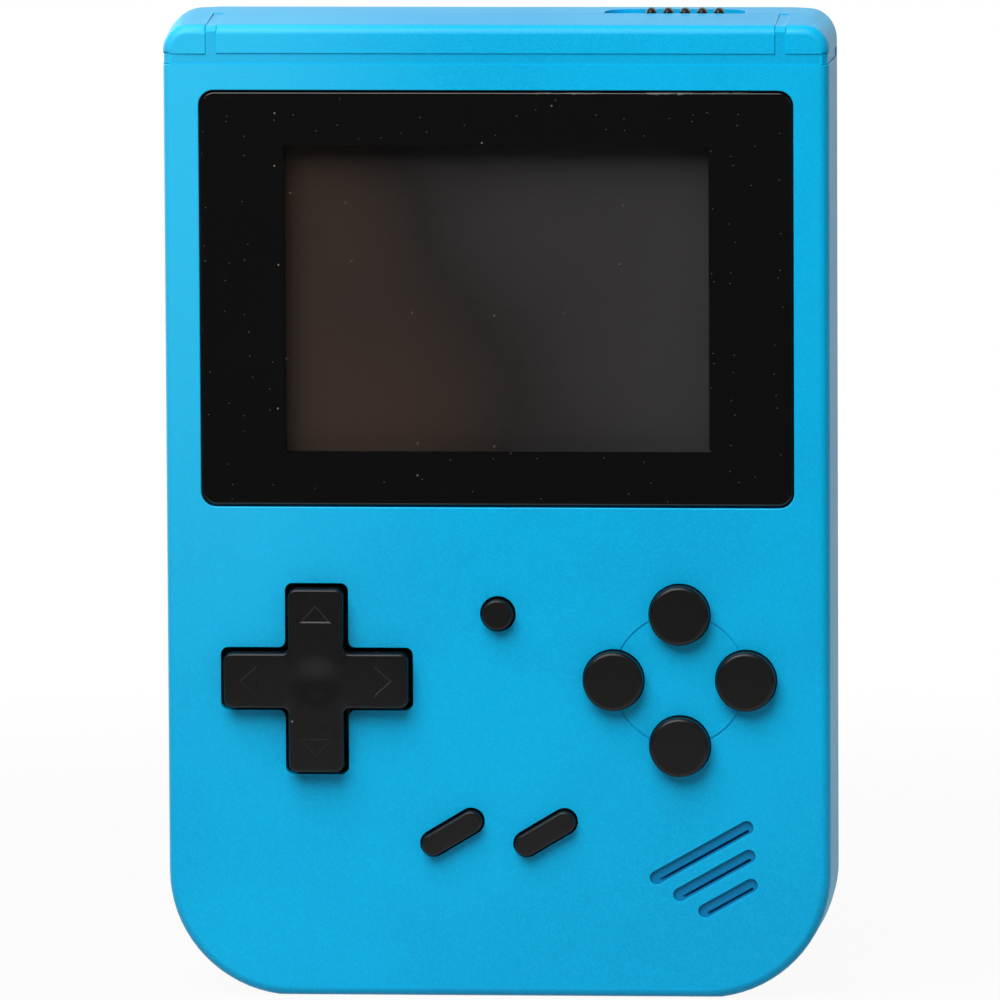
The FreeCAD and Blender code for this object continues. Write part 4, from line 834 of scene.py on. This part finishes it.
# The walls and slopes near the top: how far a point lies below each, and which way it faces
def wallsAt(x, y, z, shape):
    drafted = shape["draft"] * y
    side = math.copysign(1, x)
    below = y - shape["front"]
    forward, outward = shape["slope"]
    overTop = (z - shape["slopeTop"]) * outward
    overSide = (abs(x) - shape["slopeSide"]) * outward
    return [
        (below, Vector((0, -1, 0))),
        (shape["halfWidth"] + drafted - abs(x), Vector((side, 0, 0))),
        (shape["top"] + drafted - z, Vector((0, 0, 1))),
        (below * forward - overTop, Vector((0, -forward, outward))),
        (below * forward - overSide, Vector((side * outward, -forward, 0))),
    ]


# On the floor of a groove, away from the case's top corners
def isSunk(vertex):
    shape = caseShape
    x, y, z = vertex.co
    cornerX, cornerZ = shape["sunkCorner"]
    inCorner = abs(x) > cornerX and z > cornerZ
    nearTop = z > shape["grooveLow"] and y < shape["seamAt"] + meshing["near"]
    below = min(depth for depth, outwards in wallsAt(x, y, z, shape)[:3])
    return nearTop and not inCorner and abs(below - shape["grooveDepth"]) < shape["sunkWithin"]


# The groove floors get fold lines where they pass from one wall to the next
def splitFloors(mesh, shape):
    up, back, right = Vector((0, 0, 1)), Vector((0, 1, 0)), Vector((1, 0, 0))
    side = right * shape["foldAcross"]
    folds = ((up * shape["foldUp"], up), (back * shape["foldBack"], back), (side, right), (-side, right))
    for place, across in folds:
        floors = [face for face in mesh.faces if all(isSunk(vertex) for vertex in face.verts)]
        parts = {part for face in floors for part in (*face.verts, *face.edges, face)}
        bmesh.ops.bisect_plane(
            mesh, geom=list(parts), dist=meshing["onPlane"], plane_co=place, plane_no=across
        )


# The grooves round the case show shallower than they are cut
def raiseGrooves(thing, shape):
    shown = shape["grooveShown"]
    for vertex in thing.data.vertices:
        place = vertex.co / mm
        inLong = abs(place.z - shape["longGroove"]) < shape["grooveReach"]
        inShort = abs(abs(place.x) - shape["shortGroove"]) < shape["grooveReach"]
        inShort = inShort and place.z > shape["longGroove"]
        if not (inLong or inShort) or place.y > shape["seamAt"] + meshing["near"]:
            continue
        depths = [depth for depth, outwards in wallsAt(*place, shape)]
        if min(depths) < shown + shape["leastRaise"]:
            continue
        reach = shape["grooveDepth"] + shape["wallWithin"]
        near = [number for number, depth in enumerate(depths) if depth < reach]
        for again in range(shape["raiseTurns"]):
            for number in near:
                depth, outwards = wallsAt(*place, shape)[number]
                place += outwards * (depth - shown)
        vertex.co = place * mm


# Each sound slot shows shallower than it is cut, and its open slit narrows inwards
def shallowSlots(mesh, shape):
    for (x, z), length in shape["slots"]:
        for vertex in mesh.verts:
            u, v = turned([(vertex.co.x - x, vertex.co.z - z)], -shape["slotTurn"])[0]
            inSlot = math.hypot(max(abs(u) - length / 2, 0), v) < shape["slotHalf"]
            if inSlot and abs(vertex.co.y - shape["slotFloor"]) < meshing["near"]:
                vertex.co.y = shape["front"] + shape["slotShown"]
            inSlit = abs(u) <= length / 2 + shape["slitOver"] and -shape["slotHalf"] < v < 0.0
            if not inSlit or vertex.co.y < shape["slotFloor"] - shape["slitOver"]:
                continue
            if v > shape["slitAbove"]:
                v = shape["slotEdge"] + shape["slitBack"]
            u, v = turned([(max(u, shape["slitStart"] * length), v)], shape["slotTurn"])[0]
            vertex.co.x, vertex.co.z = x + u, z + v


def narrowOpening(mesh, shape):
    middle = lensLook["centre"]
    withinX, withinZ = shape["openingWithin"]
    beyondX, beyondZ = shape["openingBeyond"]
    for vertex in mesh.verts:
        x, y, z = vertex.co
        across, up = abs(x), abs(z - middle)
        within = y < shape["openingBack"] and across < withinX and up < withinZ
        if within and (across > beyondX or up > beyondZ):
            vertex.co.x -= math.copysign(shape["narrow"], x)
            vertex.co.z -= math.copysign(shape["lower"], z - middle)


# The bands round the top corners get evenly spaced edges
def evenCorner(mesh, side, shape):
    acrossAt, upAt = shape["highCorner"]
    near = meshing["near"]

    def isNear(vertex):
        x, y, z = vertex.co
        pastCorner = side * x > acrossAt - near and z > upAt - near
        return pastCorner and insideCase(x, z) < shape["cornerBand"] and y < shape["slopeBack"] + near

    def turnOf(vertex):
        return math.atan2(vertex.co.z - upAt, side * vertex.co.x - acrossAt)

    band = [vertex for vertex in mesh.verts if isNear(vertex)]
    inner = sorted([vertex for vertex in band if vertex.co.y < shape["front"] + near], key=turnOf)
    outer = sorted([vertex for vertex in band if vertex.co.y > shape["slopeBack"] - near], key=turnOf)
    faces = [face for face in mesh.faces if all(isNear(vertex) for vertex in face.verts)]
    bmesh.ops.delete(mesh, geom=faces, context="FACES")
    for pair, after in zip(zip(inner, outer), zip(inner[1:], outer[1:])):
        mesh.faces.new((pair[0], pair[1], after[1], after[0]))


# The edges round the front face, but for the grooves' floors
def isBrow(edge):
    middle = middleOf(edge)
    inFront = liesBetween(edge, caseShape["front"], caseShape["slopeBack"])
    inBand = insideCase(middle.x, middle.z) < caseShape["browBand"]
    return inFront and inBand and not any(isSunk(vertex) for vertex in edge.verts)


def makeFrontShell(shape):
    mesh = nodeMesh("front_shell")
    for side in (-1, 1):
        evenCorner(mesh, side, shape)
    turnOutwards(mesh)
    narrowOpening(mesh, lensPlate)
    splitFloors(mesh, shape)
    shallowSlots(mesh, shape)
    soften(mesh, sharpEdges(mesh, isCrotch), shape["crotch"], shape["crotchSteps"])
    soften(mesh, sharpEdges(mesh, isBrow, shape["browSharp"]), shape["brow"], shape["browSteps"], False)
    for low, high, width in shape["rims"]:
        rim = sharpEdges(mesh, lambda edge: onFrontFace(edge) and low < edge.verts[0].co.z < high)
        soften(mesh, rim, width, shape["rimSteps"])
    soften(mesh, sharpEdges(mesh, onSeam), shape["seam"], shape["seamSteps"])
    shell = newPiece("frontShell", mesh, "case_blue")
    cutAway(shell, ringCutter(shape))
    raiseGrooves(shell, shape)
    stand(shell, "front_shell", meshing["creased"])


makeFrontShell(caseShape)
print("front shell made")


def makeRearShell(shape):
    mesh = nodeMesh("rear_shell")
    soften(mesh, sharpEdges(mesh, onSeam), shape["seam"], shape["seamSteps"])
    soften(mesh, sharpEdges(mesh, onBackFace), shape["backRim"], shape["rimSteps"])
    standNew("rearShell", mesh, "rear_shell", "case_blue")


makeRearShell(caseShape)
print("rear shell made")


# Pieces whose solids have the right shape get their edges rounded, from a depth to the back
softened = {
    "battery_door": {"name": "batteryDoor", "slot": "case_blue", "width": 0.14, "from": 10.2},
    "av_jack": {"name": "soundJack", "slot": "key_black", "width": 0.12, "from": -11.0},
    "charging_socket": {"name": "chargingSocket", "slot": "socket_steel", "width": 0.07, "from": -11.0},
}


def makeSoftened(node, look):
    mesh = nodeMesh(node)
    outer = sharpEdges(mesh, lambda edge: all(vertex.co.y >= look["from"] for vertex in edge.verts))
    soften(mesh, outer, look["width"], caseShape["rimSteps"])
    standNew(look["name"], mesh, node, look["slot"])


for node, look in softened.items():
    makeSoftened(node, look)
print("door and sockets made")


def newTree(name, sockets):
    tree = bpy.data.node_groups.new(name, "GeometryNodeTree")
    for label, direction, kind in sockets:
        tree.interface.new_socket(label, in_out=direction, socket_type=kind)
    return tree, Graph(tree)


# Every tree ends in real copies with their material
def endTree(graph, copies, output, finish):
    solid = graph.node("GeometryNodeRealizeInstances", {}, [copies])
    covered = graph.node("GeometryNodeSetMaterial", {}, {"Geometry": solid, "Material": finishes[finish]})
    graph.node("NodeGroupOutput", {}, {output: covered})


# A row of copies of one shape: its count, start and step are inputs
def rowTree(finish):
    tree, graph = newTree("rowOfCopies", (
        ("Shape", "INPUT", "NodeSocketGeometry"), ("Count", "INPUT", "NodeSocketInt"),
        ("Start", "INPUT", "NodeSocketVector"), ("Step", "INPUT", "NodeSocketVector"),
        ("Row", "OUTPUT", "NodeSocketGeometry"),
    ))
    given = graph.node("NodeGroupInput", output="Shape")
    line = graph.node("GeometryNodeMeshLine", {"mode": "OFFSET"}, {
        "Count": given.of("Count"), "Start Location": given.of("Start"), "Offset": given.of("Step"),
    })
    copies = graph.node("GeometryNodeInstanceOnPoints", {}, {"Points": line, "Instance": given})
    endTree(graph, copies, "Row", finish)
    return tree


# Copies of one shape standing on given points, each turned a little further than the last
def spotTree(finish):
    tree, graph = newTree("copiesOnSpots", (
        ("Spots", "INPUT", "NodeSocketGeometry"), ("Shape", "INPUT", "NodeSocketObject"),
        ("Turn", "INPUT", "NodeSocketFloat"), ("Copies", "OUTPUT", "NodeSocketGeometry"),
    ))
    given = graph.node("NodeGroupInput", output="Spots")
    shape = graph.node("GeometryNodeObjectInfo", {}, {"Object": given.of("Shape")}, output="Geometry")
    turn = graph.node("GeometryNodeInputIndex") * given.of("Turn")
    turns = graph.node("ShaderNodeCombineXYZ", {}, {"Y": turn})
    sockets = {"Points": given, "Instance": shape, "Rotation": turns}
    copies = graph.node("GeometryNodeInstanceOnPoints", {}, sockets)
    endTree(graph, copies, "Copies", finish)
    return tree


def runTree(thing, tree, inputs):
    step = thing.modifiers.new("copies", "NODES")
    step.node_group = tree
    for name, value in inputs.items():
        step[tree.interface.items_tree[name].identifier] = value
    bakeModifiers(thing)


# Adds a finished object's mesh to a mesh in millimetres and removes the object
def takeIn(mesh, thing):
    data = thing.data.copy()
    data.transform(Matrix.Scale(1 / mm, 4))
    mesh.from_mesh(data)
    bpy.data.objects.remove(thing)


ridges = {
    "count": 5, "pitch": 2.0, "middle": 21.6, "radius": 0.6, "height": 115.42, "front": 0.42, "back": 2.9,
    "plateTop": 115.02, "sides": 20, "noseTurn": 5, "steps": 6,
}


# The switch knob: its plate, with a row of round-nosed ridges that run back
def makeKnob(shape):
    mesh = nodeMesh("power_switch_knob")
    cutPlane(mesh, (0, 0, shape["plateTop"]), (0, 0, 1))
    radius = shape["radius"]
    quarter = arc((0, 0), radius, shape["noseTurn"], 90, shape["steps"])
    nose = [(radius - v, radius - u) for u, v in quarter]
    levels = [(inset, shape["front"] + along) for inset, along in nose]
    levels += [(inset, shape["back"] - along) for inset, along in reversed(nose)]
    ridge = bmesh.new()
    outline = roundOutline(radius, shape["sides"])
    loft(ridge, [ringAt(outline, inset, depth) for inset, depth in levels])
    turnOutwards(ridge)
    row = newPiece("switchRidges", ridge, "key_black")
    half = (shape["count"] - 1) / 2 * shape["pitch"]
    runTree(row, rowTree("key_black"), {
        "Count": shape["count"], "Step": (shape["pitch"] * mm, 0.0, 0.0),
        "Start": ((shape["middle"] - half) * mm, 0.0, shape["height"] * mm),
    })
    takeIn(mesh, row)
    standNew("switchKnob", mesh, "power_switch_knob", "key_black")


makeKnob(ridges)
print("switch knob made")


# The case screws sit deep in their wells with a cross recess in each head
screws = {
    "places": [(34.4, 108.2), (-34.4, 108.2), (8.5, 6.5), (-8.5, 6.5)], "turn": 0.65,
    "seat": 2.42, "overlap": 0.03, "face": 3.7, "radius": 1.9, "rim": 0.45, "sides": 48,
    "crossSpan": 2.3, "crossArm": 0.62, "crossTip": 0.08, "crossCrotch": 0.05, "crossSteps": 3,
    "crossDepth": 0.75, "crossTaper": 0.16, "crossOver": 0.1,
}


def crossCutter(shape):
    mesh = bmesh.new()
    sizes = [shape[name] for name in ("crossSpan", "crossArm", "crossTip", "crossCrotch", "crossSteps")]
    outline = crossOutline(*sizes)
    foot = shape["face"] - shape["crossDepth"]
    levels = [(shape["crossTaper"], foot), (0.0, shape["face"] + shape["crossOver"])]
    loft(mesh, [ringAt(outline, inset, depth) for inset, depth in levels])
    turnOutwards(mesh)
    return newPiece("crossCutter", mesh, "screw_steel")


def makeScrewHead(shape):
    head = bmesh.new()
    outline = roundOutline(shape["radius"], shape["sides"])
    levels = [(0.0, shape["seat"])] + rimLevels(shape["face"], shape["rim"], 1)
    loft(head, [ringAt(outline, inset, depth) for inset, depth in levels])
    turnOutwards(head)
    screw = newPiece("screwHead", head, "screw_steel")
    cutAway(screw, crossCutter(shape))
    return screw


def makeScrews(shape):
    screw = makeScrewHead(shape)
    spots = bmesh.new()
    for x, z in shape["places"]:
        spots.verts.new((x, 0, z))
    heads = newPiece("screwSpots", spots, "screw_steel")
    runTree(heads, spotTree("screw_steel"), {"Shape": screw, "Turn": shape["turn"]})
    bpy.data.objects.remove(screw)
    mesh = nodeMesh("case_screws")
    cutPlane(mesh, (0, shape["seat"] + shape["overlap"], 0), (0, 1, 0))
    takeIn(mesh, heads)
    standNew("caseScrews", mesh, "case_screws", "screw_steel")


makeScrews(screws)
print("screws made")


# Floor, backdrop and light, in metres
studio = {
    "floor": (0.36, 0.36, 0.36), "floorLight": (0.4, 0.4, 0.4), "floorCloud": 9.0, "floorRough": 0.8,
    "floorGlow": 0.94, "floorNear": 0.13, "floorFar": 0.27, "floorSides": 64, "floorDrop": -0.0001,
    "white": 1.0, "dim": 0.03, "pale": 0.36, "behindSpan": (-0.1, 0.5), "aim": (0, 0, 0.058),
    "lamps": {
        "keyLamp": {"place": (-0.12, -0.31, 0.46), "width": 0.5, "power": 4.15},
        "sideLamp": {"place": (1.15, -0.95, 0.55), "width": 0.9, "power": 2.0},
        "backLamp": {"place": (-0.85, 0.8, 0.4), "width": 0.8, "power": 6.5},
    },
}


def seenRays(graph):
    rays = graph.node("ShaderNodeLightPath", output="Is Camera Ray")
    return biggest(graph, rays, rays.of("Is Transmission Ray")), rays.of("Is Glossy Ray")


def floorFinish(look):
    made, graph = newFinish("paleFloor")
    place = graph.node("ShaderNodeTexCoord", output="Object")
    sockets = {"Vector": place, "Scale": look["floorCloud"], "Detail": 3.0}
    cloud = graph.node("ShaderNodeTexNoise", {}, sockets)
    tone = blend(graph, cloud, (*look["floor"], 1), (*look["floorLight"], 1))
    sockets = {"Base Color": tone, "Roughness": look["floorRough"]}
    matt = graph.node("ShaderNodeBsdfPrincipled", {}, sockets)
    glow = graph.node("ShaderNodeEmission", {}, {"Color": (1, 1, 1, 1), "Strength": look["white"]})
    away = graph.node("ShaderNodeVectorMath", {"operation": "LENGTH"}, [place], output="Value")
    seen, glossy = seenRays(graph)
    shown = biggest(graph, seen, glossy) * look["floorGlow"]
    mixed = graph.node("ShaderNodeMixShader", {}, [shown, matt, glow])
    clear = graph.node("ShaderNodeBsdfTransparent")
    gone = ease(graph, away, look["floorNear"], look["floorFar"])
    faded = graph.node("ShaderNodeMixShader", {}, [gone, mixed, clear])
    graph.node("ShaderNodeOutputMaterial", {}, {"Surface": faded})
    return made


# A pale disc that keeps the object's shadow and fades into the backdrop
def makeFloor(look):
    mesh = bmesh.new()
    bmesh.ops.create_circle(mesh, cap_ends=True, radius=look["floorFar"], segments=look["floorSides"])
    data = bpy.data.meshes.new("floor")
    mesh.to_mesh(data)
    mesh.free()
    data.materials.append(floorFinish(look))
    floor = newObject("floor", data)
    floor.location.z = look["floorDrop"]


# The room is dim in front of the object and pale behind it
def makeWorld(look):
    world = bpy.data.worlds.new("studio")
    bpy.context.scene.world = world
    world.use_nodes = True
    graph = Graph(world.node_tree)
    towards = graph.node("ShaderNodeTexCoord", output="Generated")
    behind = ease(graph, split(graph, towards).of("Y"), *look["behindSpan"])
    seen, glossy = seenRays(graph)
    white = biggest(graph, seen, glossy * behind)
    strength = look["dim"] + behind * (look["pale"] - look["dim"])
    strength = strength + white * (look["white"] - strength)
    room = graph.node("ShaderNodeBackground", {}, {"Color": (1, 1, 1, 1), "Strength": strength})
    graph.node("ShaderNodeOutputWorld", {}, {"Surface": room})


def makeLamp(name, look, aim):
    data = bpy.data.lights.new(name, "AREA")
    data.shape = "DISK"
    data.size = look["width"]
    data.energy = look["power"]
    lamp = newObject(name, data)
    lamp.location = look["place"]
    towards = Vector(aim) - Vector(look["place"])
    lamp.rotation_euler = towards.to_track_quat("-Z", "Y").to_euler()


makeFloor(studio)
makeWorld(studio)
for name, look in studio["lamps"].items():
    makeLamp(name, look, studio["aim"])
print("studio made")


# Camera: a long lens, a little above and to the right
cameraLook = {
    "azimuth": 4.0, "elevation": 7.3, "distance": 1.6, "target": (-0.00045, 0.0, 0.05769),
    "across": 0.1183, "sensor": 36.0, "roll": -0.3, "seesFrom": 0.05, "seesTo": 50.0,
}


def makeCamera(look):
    azimuth = math.radians(look["azimuth"])
    elevation = math.radians(look["elevation"])
    level = math.cos(elevation)
    back = Vector((math.sin(azimuth) * level, -math.cos(azimuth) * level, math.sin(elevation)))
    data = bpy.data.cameras.new("camera")
    data.sensor_width = look["sensor"]
    data.lens = look["sensor"] * look["distance"] / look["across"]
    data.clip_start = look["seesFrom"]
    data.clip_end = look["seesTo"]
    camera = newObject("camera", data)
    camera.location = Vector(look["target"]) + back * look["distance"]
    aim = (-back).to_track_quat("-Z", "Y").to_matrix().to_4x4()
    camera.rotation_euler = (aim @ Matrix.Rotation(math.radians(look["roll"]), 4, "Z")).to_euler()
    bpy.context.scene.camera = camera


makeCamera(cameraLook)
bpy.context.scene.view_settings.view_transform = "Standard"
